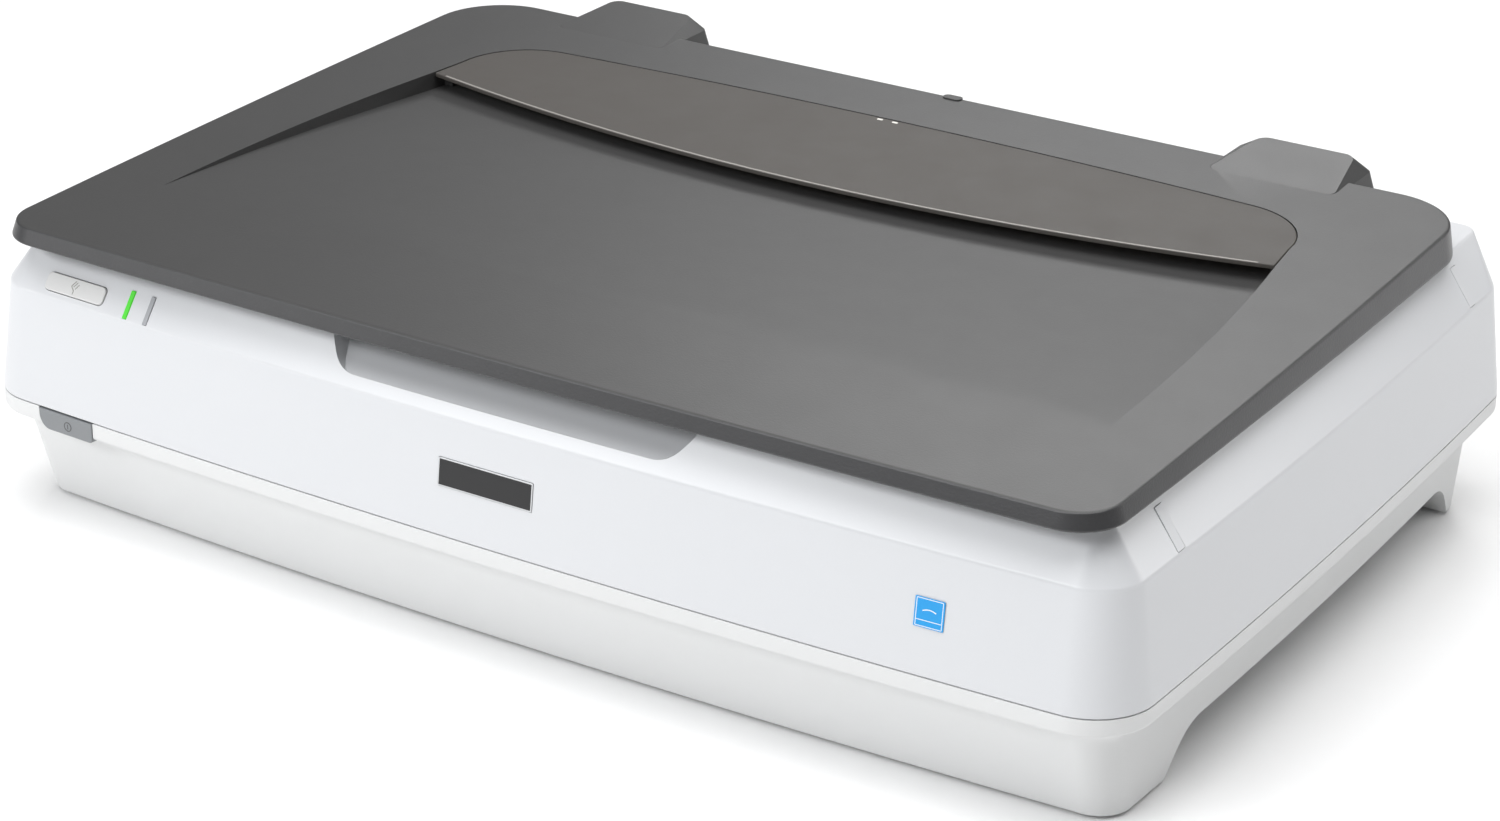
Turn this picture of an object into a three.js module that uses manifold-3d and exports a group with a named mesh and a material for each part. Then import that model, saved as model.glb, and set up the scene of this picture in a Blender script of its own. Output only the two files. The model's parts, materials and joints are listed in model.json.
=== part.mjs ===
// A3 flatbed scanner: a wide two-part casing with a glass window, a scanning carriage on a rod and
// a belt, and a lift-off document cover on two sliding hinge posts.
// Millimetres. X to the right, -Y to the user's side, Z up. The origin is on the ground, under the
// middle of the casing.
import * as THREE from 'three';
import { mergeVertices } from 'three/addons/utils/BufferGeometryUtils.js';
import Module from 'manifold-3d';

const wasm = await Module();
wasm.setup();

// ---------------------------------------------------------------- driving dimensions

const GAP = 0.35;                 // space left between pieces that touch
const WALL = 3;                   // casing wall

const SEAM_Z = 63.6;              // joint between the lower and the upper casing
const SHOULDER_Z = 121.4;         // where the upright wall turns into the top bevel
const DECK_Z = 146;               // top of the upper casing
const LEAN = 7;                   // how far the wall leans in by the shoulder
const BEVEL_RUN = 17.3;           // how far the bevel runs in by the deck
const REAR_BEVEL_RUN = 4;         // the same on the rear, where the hinges need the room

const TRAY_BOTTOM_Z = 21.5;       // underside of the lower casing between its skirts
const TRAY_TOP_Z = 24.5;
const SKIRT_Z = 1.5;              // lower edge of the front and rear skirts
const FLANGE_Z = 55;              // lower edge of the flange under the seam

// Plan of the casing at the seam. The front and the sides are slightly bowed.
const CASING = {
  half: 323.8, front: -219.9, rear: 228.6,
  frontRadius: 29, rearRadius: 32, frontBow: 8.7, sideBow: 4.2,
};

// Plan of the cover's top face, and the plane that it lies in.
const COVER = {
  half: 305.5, front: -215.7, rear: 190.9,
  frontRadius: 20, rearRadius: 38.5, frontBow: 3.8, sideBow: 2.1,
};
const COVER_FRONT_Z = 156.6;
const COVER_RISE = 8.9 / 400;     // the top climbs towards the rear
const COVER_RIM_Z = 148.8;        // widest edge of the cover
const COVER_RIM_OUT = 3.2;        // how far the rim stands out past the top face
const COVER_FOOT_Z = 147.8;
const COVER_HOLLOW = 0.5;         // how far the hollow lies in from the edge of the top face
const COVER_WALL = 2.6;
const LINER_LOW_Z = 148.9;
const LINER_HIGH_Z = 150.2;

// Dished middle of the cover, and the smoked window that roofs its rear part.
const DISH_CREASE_Y = -137;
const DISH_FRONT_HALF = 268;
const DISH_REAR_HALF = 250;
const DISH_FLOOR_Z = 153.4;
const DISH_FLOOR_Y = 44;
const WINDOW_THICK = 2.4;

// Scan window
const SCAN_X = 437;
const SCAN_Y = 310;
const GLASS_Y = -5;               // middle of the glass
const GLASS_THICK = 4;
const GLASS_LAP = 4;              // how far the glass runs in under the frame, on each side
const FRAME_WIDTH = 17;

// Hinges
const HINGE_X = 204;
const HINGE_Y = 205;
const HINGE_Z = 158;
const HINGE_PIN_R = 3;
const ROOF_FRONT_Y = 170;         // where the roof of a hinge housing leaves the cover's top face
const ROOF_RISE = 5.4 / 46.6;
const POST_Z = 86;                // lower end of a hinge post
const SOCKET_FLOOR_Z = 139;       // floor of the notch round each post

// Carriage and its drive
const HOME_X = -245;              // scan line at rest
const CARRIAGE_HALF = 32;
const CARRIAGE_FRONT = -168;
const CARRIAGE_REAR = 158;
const CARRIAGE_Z = 62;
const CARRIAGE_TOP = 130;
const ROD = { y: 176, z: 78, radius: 5, half: 298 };
const BELT = { y: 188, z: 60, height: 6, thick: 1.2, reach: 280 };
const PULLEY_R = 7;               // pitch radius of the toothed belt on its pulleys
const MODULE = 1;                 // gear tooth size
const GEAR_TEETH = 40;
const PINION_TEETH = 12;
const GEAR_SPACING = 26.35;       // pitch radii plus a little backlash
const PINION_ANGLE = -60;         // degrees, from the gear to the pinion

// ---------------------------------------------------------------- materials

const finish = (color, roughness, metalness = 0, opacity = 1) => new THREE.MeshStandardMaterial({
  color, roughness, metalness, opacity, transparent: opacity < 1,
});
const whitePlastic = finish(0xe9ebee, 0.5);
const basePlastic = finish(0xe4e5e5, 0.55);
const coverPlastic = finish(0x5a5a5b, 0.62);
const smokePlastic = finish(0x6a6560, 0.25, 0, 0.8);
const glassClear = finish(0xdfeceb, 0.05, 0, 0.3);
const foamWhite = finish(0xf3f3f1, 0.9);
const buttonGrey = finish(0xd5d5d4, 0.5);
const powerGrey = finish(0x8e9295, 0.45);
const lampGreen = finish(0x58cf1c, 0.3);
const lampGrey = finish(0x8c8f95, 0.3);
const plateBlack = finish(0x1c1c1e, 0.35);
const labelBlue = finish(0x7db7e2, 0.5);
const blackPlastic = finish(0x232425, 0.6);
const rubber = finish(0x2b2b2b, 0.9);
const steel = finish(0xb9bcc0, 0.35, 1);
const zinc = finish(0xa9adb0, 0.45, 1);
const boardGreen = finish(0x1f5a36, 0.5);
const mirrorFace = finish(0xe8ecef, 0.05, 1);
const acetal = finish(0xefeee8, 0.4);

// ---------------------------------------------------------------- geometry helpers

const scanner = new THREE.Group();

function addPart(name, shape, material, parent = scanner) {
  const geometry = shape.isBufferGeometry ? shape : toGeometry(shape);
  geometry.computeVertexNormals();
  const mesh = new THREE.Mesh(geometry, material);
  mesh.name = name;
  parent.add(mesh);
  return mesh;
}

// A closed geometry as a solid that can be joined and cut
function toSolid(geometry) {
  const plain = geometry.index ? geometry.toNonIndexed() : geometry.clone();
  plain.deleteAttribute('normal');
  plain.deleteAttribute('uv');
  const merged = mergeVertices(plain, 1e-4);
  const mesh = new wasm.Mesh({
    numProp: 3,
    vertProperties: new Float32Array(merged.attributes.position.array),
    triVerts: new Uint32Array(merged.index.array),
  });
  return new wasm.Manifold(mesh);
}

function toGeometry(solid) {
  const mesh = solid.getMesh();
  const geometry = new THREE.BufferGeometry();
  geometry.setAttribute('position', new THREE.BufferAttribute(mesh.vertProperties, 3));
  geometry.setIndex(new THREE.BufferAttribute(mesh.triVerts, 1));
  return geometry;
}

const joined = (first, ...rest) => rest.reduce((sum, piece) => sum.add(piece), first);
const cut = (body, ...tools) => tools.reduce((left, tool) => left.subtract(tool), body);

function block(x0, x1, y0, y1, z0, z1) {
  const geometry = new THREE.BoxGeometry(x1 - x0, y1 - y0, z1 - z0);
  geometry.translate((x0 + x1) / 2, (y0 + y1) / 2, (z0 + z1) / 2);
  return toSolid(geometry);
}

// Upright round bar from z0 to z1
function bar(x, y, radius, z0, z1, sides = 24) {
  const geometry = new THREE.CylinderGeometry(radius, radius, z1 - z0, sides);
  geometry.rotateX(Math.PI / 2);
  geometry.translate(x, y, (z0 + z1) / 2);
  return toSolid(geometry);
}

// Round bar along X
function barX(x0, x1, y, z, radius, sides = 24) {
  const geometry = new THREE.CylinderGeometry(radius, radius, x1 - x0, sides);
  geometry.rotateZ(Math.PI / 2);
  geometry.translate((x0 + x1) / 2, y, z);
  return toSolid(geometry);
}

const extrudeUp = (points, z0, z1) => {
  const geometry = new THREE.ExtrudeGeometry(new THREE.Shape(points), {
    depth: z1 - z0, bevelEnabled: false, curveSegments: 6,
  });
  geometry.translate(0, 0, z0);
  return toSolid(geometry);
};

// A profile of (y, z) points carried along X from x0 to x1
function extrudeAlongX(points, x0, x1) {
  const shape = new THREE.Shape(points.map(([y, z]) => new THREE.Vector2(y, z)));
  const geometry = new THREE.ExtrudeGeometry(shape, { depth: x1 - x0, bevelEnabled: false });
  geometry.applyMatrix4(new THREE.Matrix4().set(
    0, 0, 1, x0,
    1, 0, 0, 0,
    0, 1, 0, 0,
    0, 0, 0, 1,
  ));
  return toSolid(geometry);
}

// A profile of (x, z) points carried along Y from y0 to y1
function extrudeAlongY(points, y0, y1) {
  const shape = new THREE.Shape(points.map(([x, z]) => new THREE.Vector2(x, z)));
  const geometry = new THREE.ExtrudeGeometry(shape, { depth: y1 - y0, bevelEnabled: false });
  geometry.applyMatrix4(new THREE.Matrix4().set(
    1, 0, 0, 0,
    0, 0, -1, y1,
    0, 1, 0, 0,
    0, 0, 0, 1,
  ));
  return toSolid(geometry);
}

// Rounded rectangle with a bowed front and bowed sides, anticlockwise from the front left
function outline(plan, cornerSteps = 5, edgeSteps = 10) {
  const { half, front, rear, frontRadius, rearRadius, frontBow, sideBow } = plan;
  const corners = [
    { x: -half + frontRadius, y: front + frontRadius, radius: frontRadius, start: 180 },
    { x: half - frontRadius, y: front + frontRadius, radius: frontRadius, start: 270 },
    { x: half - rearRadius, y: rear - rearRadius, radius: rearRadius, start: 0 },
    { x: -half + rearRadius, y: rear - rearRadius, radius: rearRadius, start: 90 },
  ];
  const points = [];
  corners.forEach((corner, index) => {
    for (let step = 0; step <= cornerSteps; step += 1) {
      const angle = THREE.MathUtils.degToRad(corner.start + (90 * step) / cornerSteps);
      const x = corner.x + corner.radius * Math.cos(angle);
      const y = corner.y + corner.radius * Math.sin(angle);
      points.push(new THREE.Vector2(x, y));
    }
    const next = corners[(index + 1) % 4];
    const leave = points[points.length - 1].clone();
    const angle = THREE.MathUtils.degToRad(next.start);
    const arrive = new THREE.Vector2(
      next.x + next.radius * Math.cos(angle),
      next.y + next.radius * Math.sin(angle),
    );
    for (let step = 1; step < edgeSteps; step += 1) {
      points.push(leave.clone().lerp(arrive, step / edgeSteps));
    }
  });
  const middle = (front + rear) / 2;
  const depth = (rear - front) / 2;
  return points.map(({ x, y }) => {
    const across = 1 - (x / half) ** 2;
    const forward = THREE.MathUtils.clamp((middle - y) / depth, 0, 1);
    const along = 1 - ((y - middle) / depth) ** 2;
    return new THREE.Vector2(
      x + (sideBow * along * x) / half,
      y - frontBow * across * forward,
    );
  });
}

// The plan pulled in by a distance at the sides, the front and the rear
function inset(plan, side, front = side, rear = front) {
  return {
    ...plan,
    half: plan.half - side,
    front: plan.front + front,
    rear: plan.rear - rear,
    frontRadius: Math.max(plan.frontRadius - side, 6),
    rearRadius: Math.max(plan.rearRadius - side, 6),
  };
}

// A solid skinned over rings of equal point count. Each ring is [plan, height or height(y)].
function loft(...rings) {
  const rows = rings.map(([plan, height]) => outline(plan).map(({ x, y }) => {
    const z = typeof height === 'function' ? height(y) : height;
    return new THREE.Vector3(x, y, z);
  }));
  const count = rows[0].length;
  const positions = rows.flat().flatMap((point) => [point.x, point.y, point.z]);
  const index = [];
  for (let row = 0; row < rows.length - 1; row += 1) {
    for (let column = 0; column < count; column += 1) {
      const next = (column + 1) % count;
      const a = row * count + column;
      const b = row * count + next;
      index.push(a, b, b + count, a, b + count, a + count);
    }
  }
  const flat = (row) => rows[row].map((point) => new THREE.Vector2(point.x, point.y));
  const top = (rows.length - 1) * count;
  for (const [a, b, c] of THREE.ShapeUtils.triangulateShape(flat(0), [])) {
    index.push(a, c, b);
  }
  for (const [a, b, c] of THREE.ShapeUtils.triangulateShape(flat(rows.length - 1), [])) {
    index.push(top + a, top + b, top + c);
  }
  const geometry = new THREE.BufferGeometry();
  geometry.setAttribute('position', new THREE.Float32BufferAttribute(positions, 3));
  geometry.setIndex(index);
  return toSolid(geometry);
}

// Rectangle with round corners about the origin
function roundedPoints(width, height, radius, steps = 4) {
  const points = [];
  for (let corner = 0; corner < 4; corner += 1) {
    const signX = corner === 0 || corner === 3 ? 1 : -1;
    const signY = corner < 2 ? 1 : -1;
    for (let step = 0; step <= steps; step += 1) {
      const angle = (corner + step / steps) * (Math.PI / 2);
      points.push(new THREE.Vector2(
        signX * (width / 2 - radius) + radius * Math.cos(angle),
        signY * (height / 2 - radius) + radius * Math.sin(angle),
      ));
    }
  }
  return points;
}

// ---------------------------------------------------------------- places on the casing

const frontY = (x) => CASING.front - CASING.frontBow * (1 - (x / CASING.half) ** 2);
const frontTurn = (x) => Math.atan((2 * CASING.frontBow * x) / CASING.half ** 2);
const sideX = (y) => {
  const middle = (CASING.front + CASING.rear) / 2;
  const depth = (CASING.rear - CASING.front) / 2;
  return CASING.half + CASING.sideBow * (1 - ((y - middle) / depth) ** 2);
};
const bevelPitch = Math.atan2(DECK_Z - SHOULDER_Z, BEVEL_RUN);
const wallPitch = Math.atan2(SHOULDER_Z - SEAM_Z, LEAN);
const wallInset = (z) => (LEAN * (z - SEAM_Z)) / (SHOULDER_Z - SEAM_Z);

// Frame on the front bevel: X across, Y up the slope, Z straight out of it
function frontBevelFrame(x, upSlope) {
  return new THREE.Matrix4()
    .makeTranslation(x, frontY(x) + LEAN, SHOULDER_Z)
    .multiply(new THREE.Matrix4().makeRotationZ(frontTurn(x)))
    .multiply(new THREE.Matrix4().makeRotationX(bevelPitch))
    .multiply(new THREE.Matrix4().makeTranslation(0, upSlope, 0));
}

// Frame on the upright front wall, the same way round
function frontWallFrame(x, z) {
  return new THREE.Matrix4()
    .makeTranslation(x, frontY(x) + wallInset(z), z)
    .multiply(new THREE.Matrix4().makeRotationZ(frontTurn(x)))
    .multiply(new THREE.Matrix4().makeRotationX(wallPitch));
}

// Frame on a side bevel. side is 1 on the right and -1 on the left.
function sideBevelFrame(side, y, upSlope) {
  return new THREE.Matrix4()
    .makeTranslation(side * (sideX(y) - LEAN), y, SHOULDER_Z)
    .multiply(new THREE.Matrix4().makeRotationZ((side * Math.PI) / 2))
    .multiply(new THREE.Matrix4().makeRotationX(bevelPitch))
    .multiply(new THREE.Matrix4().makeTranslation(0, upSlope, 0));
}

// A plate of the given outline in such a frame, from depth z0 to z1
function plateIn(frame, points, z0, z1) {
  const geometry = new THREE.ExtrudeGeometry(new THREE.Shape(points), {
    depth: z1 - z0, bevelEnabled: false,
  });
  geometry.translate(0, 0, z0);
  geometry.applyMatrix4(frame);
  return toSolid(geometry);
}

// ---------------------------------------------------------------- small parts set in the casing

const SCAN_BUTTON = { x: -263, up: 8.3, width: 39, height: 9.4, radius: 2.6 };
const READY_LAMP_X = -227.3;
const ERROR_LAMP_X = -214;
const LAMP = { up: 8.3, width: 2.6, height: 14.6 };
const NAMEPLATE = { x: -3.5, z: 95, width: 53.5, height: 14 };
const LABEL = { x: 230, z: 93.4, width: 14.6, height: 14 };
const PLUG = { width: 6.6, height: 22, up: 12.5, thick: 1.4 };
const PLUG_PLACES = [
  ['right_front', 1, -158], ['right_rear', 1, 172],
  ['left_front', -1, -158], ['left_rear', -1, 172],
];

const scanButtonFrame = frontBevelFrame(SCAN_BUTTON.x, SCAN_BUTTON.up);
const lampFrame = (x) => frontBevelFrame(x, LAMP.up);
const nameplateFrame = frontWallFrame(NAMEPLATE.x, NAMEPLATE.z);
const labelFrame = frontWallFrame(LABEL.x, LABEL.z);

const grown = (size, margin) => [size.width + 2 * margin, size.height + 2 * margin];

// ---------------------------------------------------------------- lower casing

// Inset of the lower casing's outer face at its floor line
const FLOOR_INSET = { side: 13.5, front: 26.8, rear: 24.6 };
const STEP_IN = 13.6;             // how far the wall stands back under the flange
const STEP_Z = 43;

function skirtInset(z, extra) {
  const t = (STEP_Z - z) / (STEP_Z - SKIRT_Z);
  const at = (floor) => STEP_IN + (floor - STEP_IN) * t + extra;
  return [at(FLOOR_INSET.side), at(FLOOR_INSET.front), at(FLOOR_INSET.rear)];
}

const ARCH = { front: -150, frontTop: -127, rearTop: 172, rear: 184 };
const FOOT_PLACES = [[-262, -172], [262, -172], [262, 193.5], [-262, 193.5]];
const FOOT_R = 8;
const FOOT_H = 3.6;
const SCREW_PLACES = [[-285, -100], [285, -100], [285, 120], [-285, 120]];
const INLET = { x: -212, z: 36, width: 27.4, height: 19.6 };
const USB = { x: -150, z: 35, width: 12.4, height: 11.4 };
const OPTION = { x: -90, z: 35, width: 39, height: 11 };
const POWER_BUTTON_X = -263;
const powerButtonPoints = (margin) => [
  [-19.6 - margin, 62.9 + margin], [-19.6 - margin, 58 - margin / 2],
  [-17.4 - margin, 53.8 - margin], [-14.6 - margin / 2, 52.4 - margin],
  [14.4 + margin / 2, 52.4 - margin], [16.2 + margin, 54 - margin],
  [16.4 + margin, 62.9 + margin],
];
const powerButtonSolid = (margin, out, back) => {
  const solid = extrudeAlongY(powerButtonPoints(margin), -out, back);
  const turn = THREE.MathUtils.radToDeg(frontTurn(POWER_BUTTON_X));
  return solid.rotate([0, 0, turn]).translate([POWER_BUTTON_X, frontY(POWER_BUTTON_X), 0]);
};

function lowerCasing() {
  const top = SEAM_Z - GAP;
  const outer = loft(
    [inset(CASING, ...skirtInset(SKIRT_Z, 0.8)), SKIRT_Z],
    [inset(CASING, ...skirtInset(SKIRT_Z + 1.5, 0)), SKIRT_Z + 1.5],
    [inset(CASING, STEP_IN), STEP_Z],
    [inset(CASING, 11), 48],
    [inset(CASING, 5.5), 52],
    [inset(CASING, 1.2), FLANGE_Z - 1.2],
    [inset(CASING, 0), FLANGE_Z],
    [inset(CASING, 0), top - 0.4],
    [inset(CASING, 0.4), top],
  );
  const hollow = loft(
    [inset(CASING, ...skirtInset(TRAY_TOP_Z, WALL)), TRAY_TOP_Z],
    [inset(CASING, STEP_IN + WALL), STEP_Z + 1],
    [inset(CASING, 12.5), 52],
    [inset(CASING, WALL + 0.5), 58],
    [inset(CASING, WALL), top + 1],
  );
  const arch = extrudeAlongX([
    [ARCH.front, -1], [ARCH.rear, -1], [ARCH.rearTop + 2, 15], [ARCH.rearTop - 4, 20],
    [ARCH.rearTop - 12, TRAY_BOTTOM_Z], [ARCH.frontTop + 12, TRAY_BOTTOM_Z],
    [ARCH.frontTop + 4, 20], [ARCH.frontTop - 5, 15],
  ], -400, 400);
  const screwHoles = SCREW_PLACES.map(([x, y]) => bar(x, y, 3.4, TRAY_BOTTOM_Z - 1, TRAY_TOP_Z + 1, 16));
  const ports = [INLET, USB, OPTION].map((port) => block(
    port.x - port.width / 2 - GAP, port.x + port.width / 2 + GAP, 180, 240,
    port.z - port.height / 2 - GAP, port.z + port.height / 2 + GAP,
  ));
  const lockHole = bar(LOCK.x, LOCK.y, LOCK.radius + GAP, TRAY_BOTTOM_Z - 1, TRAY_TOP_Z + 1);
  const footSeats = FOOT_PLACES.map(([x, y]) => bar(x, y, FOOT_R + GAP, -1, FOOT_H + GAP));
  const buttonHole = powerButtonSolid(0.4, 3, 22);
  return cut(outer, hollow, arch, ...footSeats, ...screwHoles, ...ports, lockHole, buttonHole);
}

// ---------------------------------------------------------------- upper casing

// Scoop in the front bevel for lifting the cover, as a solid grown by a margin
function fingerScoop(margin) {
  const front = [
    [-93 - margin, 127.2 - margin], [93 + margin, 127.2 - margin],
    [97.5 + margin, 129.4 - margin / 2], [102.5 + margin, 140],
    [102.5 + margin, 152], [-104.5 - margin, 152],
    [-104.5 - margin, 140], [-99 - margin, 129.6 - margin / 2],
  ];
  const side = [
    [-240, 117.2 - margin], [-200 + margin / 3, 134.5 - margin], [-187 + margin, 147 - margin / 2],
    [-187 + margin, 152], [-240, 152],
  ];
  return extrudeAlongX(side, -120, 120).intersect(extrudeAlongY(front, -240, -180));
}

const POST = { width: 26, depth: 9 };
const NOTCH = { inner: HINGE_X - 44, outer: HINGE_X + 46, front: HINGE_Y - 13.5 };

function hingeSocket(side) {
  const x = side * HINGE_X;
  return block(
    x - POST.width / 2 - WALL, x + POST.width / 2 + WALL,
    HINGE_Y - POST.depth / 2 - WALL, HINGE_Y + POST.depth / 2 + WALL,
    POST_Z - WALL - 1, SOCKET_FLOOR_Z - 1,
  );
}

function hingeSocketBore(side) {
  const x = side * HINGE_X;
  const play = 0.4;
  return block(
    x - POST.width / 2 - play, x + POST.width / 2 + play,
    HINGE_Y - POST.depth / 2 - play, HINGE_Y + POST.depth / 2 + play,
    POST_Z - 1, SOCKET_FLOOR_Z + 1,
  );
}

// The open step in the rear edge that gives a hinge room to turn
function hingeNotch(side, margin) {
  const [x0, x1] = side > 0 ? [NOTCH.inner, NOTCH.outer] : [-NOTCH.outer, -NOTCH.inner];
  return block(x0 - margin, x1 + margin, NOTCH.front - margin, 240, SOCKET_FLOOR_Z - margin, 160);
}

function upperCasing() {
  const bottom = SEAM_Z + GAP;
  const bevelInset = (z) => LEAN + (BEVEL_RUN * (z - SHOULDER_Z)) / (DECK_Z - SHOULDER_Z);
  const rearInset = (z) => LEAN + (REAR_BEVEL_RUN * (z - SHOULDER_Z)) / (DECK_Z - SHOULDER_Z);
  const ring = (z, extra = 0) => {
    const front = bevelInset(z) + extra;
    return [inset(CASING, front, front, rearInset(z) + extra), z];
  };
  const outer = loft(
    [inset(CASING, 0.4), bottom],
    [inset(CASING, 0.05), bottom + 0.5],
    [inset(CASING, wallInset(118)), 118],
    [inset(CASING, LEAN + 0.35), SHOULDER_Z],
    ring(124.5),
    ring(DECK_Z - 1.4),
    ring(DECK_Z, 1.6),
  );
  const slant = 3.7;              // wall along X that gives the bevel its full thickness
  const hollow = loft(
    [inset(CASING, WALL), bottom - 1],
    [inset(CASING, LEAN + WALL), SHOULDER_Z - 1],
    ring(DECK_Z - WALL, slant),
  );
  const solids = [fingerScoop(WALL), hingeNotch(1, WALL), hingeNotch(-1, WALL)];
  const shell = cut(
    cut(outer, cut(hollow, ...solids)),
    fingerScoop(0), hingeNotch(1, 0), hingeNotch(-1, 0),
  );
  const glassX = SCAN_X / 2 + GLASS_LAP;
  const glassY = SCAN_Y / 2 + GLASS_LAP;
  const shelfZ = DECK_Z - GLASS_THICK - 1;
  const shelf = block(
    -glassX - 8, glassX + 8, GLASS_Y - glassY - 8, GLASS_Y + glassY + 8,
    shelfZ - 2, DECK_Z - 1,
  );
  const glassPocket = block(
    -glassX - GAP, glassX + GAP, GLASS_Y - glassY - GAP, GLASS_Y + glassY + GAP,
    shelfZ, DECK_Z + 1,
  );
  const opening = block(
    -SCAN_X / 2, SCAN_X / 2, GLASS_Y - SCAN_Y / 2, GLASS_Y + SCAN_Y / 2, 120, 160,
  );
  const pockets = [
    plateIn(scanButtonFrame, roundedPoints(...grown(SCAN_BUTTON, GAP), 3), -12, 4),
    plateIn(lampFrame(READY_LAMP_X), roundedPoints(...grown(LAMP, 0.25), 0.6, 1), -12, 4),
    plateIn(lampFrame(ERROR_LAMP_X), roundedPoints(...grown(LAMP, 0.25), 0.6, 1), -12, 4),
    plateIn(nameplateFrame, roundedPoints(...grown(NAMEPLATE, 0.3), 0.5, 1), -1.2, 4),
  ];
  for (const [, side, y] of PLUG_PLACES) {
    const frame = sideBevelFrame(side, y, PLUG.up);
    pockets.push(plateIn(frame, roundedPoints(...grown(PLUG, 0.3), 0.6, 1), -PLUG.thick - 0.3, 4));
  }
  const withSockets = joined(shell, shelf, hingeSocket(1), hingeSocket(-1));
  return cut(
    withSockets, glassPocket, opening, hingeSocketBore(1), hingeSocketBore(-1), ...pockets,
  );
}

// ---------------------------------------------------------------- transport lock

const LOCK = { x: -262, y: -98, radius: 9, reach: 14 };

function transportLock() {
  const head = cut(
    bar(LOCK.x, LOCK.y, LOCK.radius, TRAY_BOTTOM_Z + 0.4, TRAY_TOP_Z, 32),
    block(LOCK.x - 6, LOCK.x + 6, LOCK.y - 1, LOCK.y + 1, TRAY_BOTTOM_Z - 1, TRAY_BOTTOM_Z + 1.8),
  );
  const collar = bar(LOCK.x, LOCK.y, LOCK.radius + 3, TRAY_TOP_Z + GAP, TRAY_TOP_Z + 3, 32);
  const neck = bar(LOCK.x, LOCK.y, LOCK.radius - 1, TRAY_TOP_Z - 1, TRAY_TOP_Z + 1);
  const stem = bar(LOCK.x, LOCK.y, 4, TRAY_TOP_Z + 1, 66, 16);
  const finger = block(LOCK.x, LOCK.x + LOCK.reach, LOCK.y - 3, LOCK.y + 3, 64, 68);
  return joined(head, neck, collar, stem, finger);
}

// ---------------------------------------------------------------- cover

const coverTopZ = (y) => COVER_FRONT_Z + COVER_RISE * (y - COVER.front);

// Plan of the dish in the cover: wide at the crease, round at the rear
function dishPoints(margin) {
  const corner = 42;
  const rearY = (x) => 133.5 + 10.5 * (1 - (x / DISH_REAR_HALF) ** 2) + margin;
  const half = DISH_REAR_HALF + margin;
  const points = [new THREE.Vector2(-DISH_FRONT_HALF - margin, DISH_CREASE_Y - margin)];
  points.push(new THREE.Vector2(DISH_FRONT_HALF + margin, DISH_CREASE_Y - margin));
  points.push(new THREE.Vector2(DISH_FRONT_HALF - 4 + margin, 10));
  points.push(new THREE.Vector2(half + 3, 72));
  const arc = (sign, from, to) => {
    for (let step = 0; step <= 6; step += 1) {
      const angle = THREE.MathUtils.degToRad(from + ((to - from) * step) / 6);
      const x = sign * (half - corner - margin) + (corner + margin) * Math.cos(angle);
      points.push(new THREE.Vector2(x, rearY(half - corner) - corner + corner * Math.sin(angle)));
    }
  };
  arc(1, 0, 90);
  for (let step = 1; step < 10; step += 1) {
    const x = (half - corner) * (1 - step / 5);
    points.push(new THREE.Vector2(x, rearY(x)));
  }
  arc(-1, 90, 180);
  points.push(new THREE.Vector2(-half - 3, 72));
  points.push(new THREE.Vector2(-DISH_FRONT_HALF + 4 - margin, 10));
  return points;
}

function dish(margin) {
  const creaseZ = coverTopZ(DISH_CREASE_Y);
  const side = [
    [DISH_CREASE_Y - margin, creaseZ - margin], [DISH_FLOOR_Y, DISH_FLOOR_Z - margin],
    [160, DISH_FLOOR_Z - margin], [160, 190], [DISH_CREASE_Y - margin, 190],
  ];
  return extrudeUp(dishPoints(margin), 140, 189).intersect(extrudeAlongX(side, -300, 300));
}

// Front edge of the smoked window: a shallow arc
const windowFrontY = (x) => 42.8 + 29.5 * (x / 253) ** 2;

function windowPoints(clearance) {
  const rear = dishPoints(-clearance).filter((point) => point.y > windowFrontY(point.x) + 3);
  const points = [];
  for (let step = 0; step <= 16; step += 1) {
    const x = (DISH_REAR_HALF + 2.2 - clearance) * (step / 8 - 1);
    points.push(new THREE.Vector2(x, windowFrontY(x)));
  }
  return [...points, ...rear];
}

// A plate of the given plan that follows the cover's sloping top, from z0 to z1 below it
function slopingPlate(points, z0, z1) {
  const geometry = new THREE.ExtrudeGeometry(new THREE.Shape(points), {
    depth: z1 - z0, bevelEnabled: false,
  });
  const position = geometry.attributes.position;
  for (let index = 0; index < position.count; index += 1) {
    const z = position.getZ(index) + z0 + coverTopZ(position.getY(index));
    position.setZ(index, z);
  }
  return toSolid(geometry);
}

// Height of the hinge housings' roof, which leaves the cover's top face at ROOF_FRONT_Y and rises rearwards
const roofZ = (y) => coverTopZ(ROOF_FRONT_Y) + ROOF_RISE * (y - ROOF_FRONT_Y);

// Hinge housing on the rear of the cover, as a loft of small rounded rectangles under a sloping roof
function hingeHousing(side, margin) {
  const plan = (inner, outer, front, rear, radius) => ({
    half: (outer - inner) / 2, front, rear, frontRadius: radius, rearRadius: radius,
    frontBow: 0, sideBow: 0,
  });
  const m = margin;
  const shape = loft(
    [plan(163 + m, 245 - m, 176 + m, 218.6 - m, 5), margin > 0 ? 140 : 150.5],
    [plan(168 + m, 241 - m, 170 + m, 217.8 - m, 5), 164.6],
    [plan(178.5 + m, 230 - m, 170 + m, 216.6 - m, 5), 171],
  );
  const underRoof = extrudeAlongX(
    [[160, 130], [230, 130], [230, roofZ(230) - m], [160, roofZ(160) - m]], -50, 50,
  );
  return shape.intersect(underRoof).translate([side * HINGE_X, 0, 0]);
}

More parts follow.
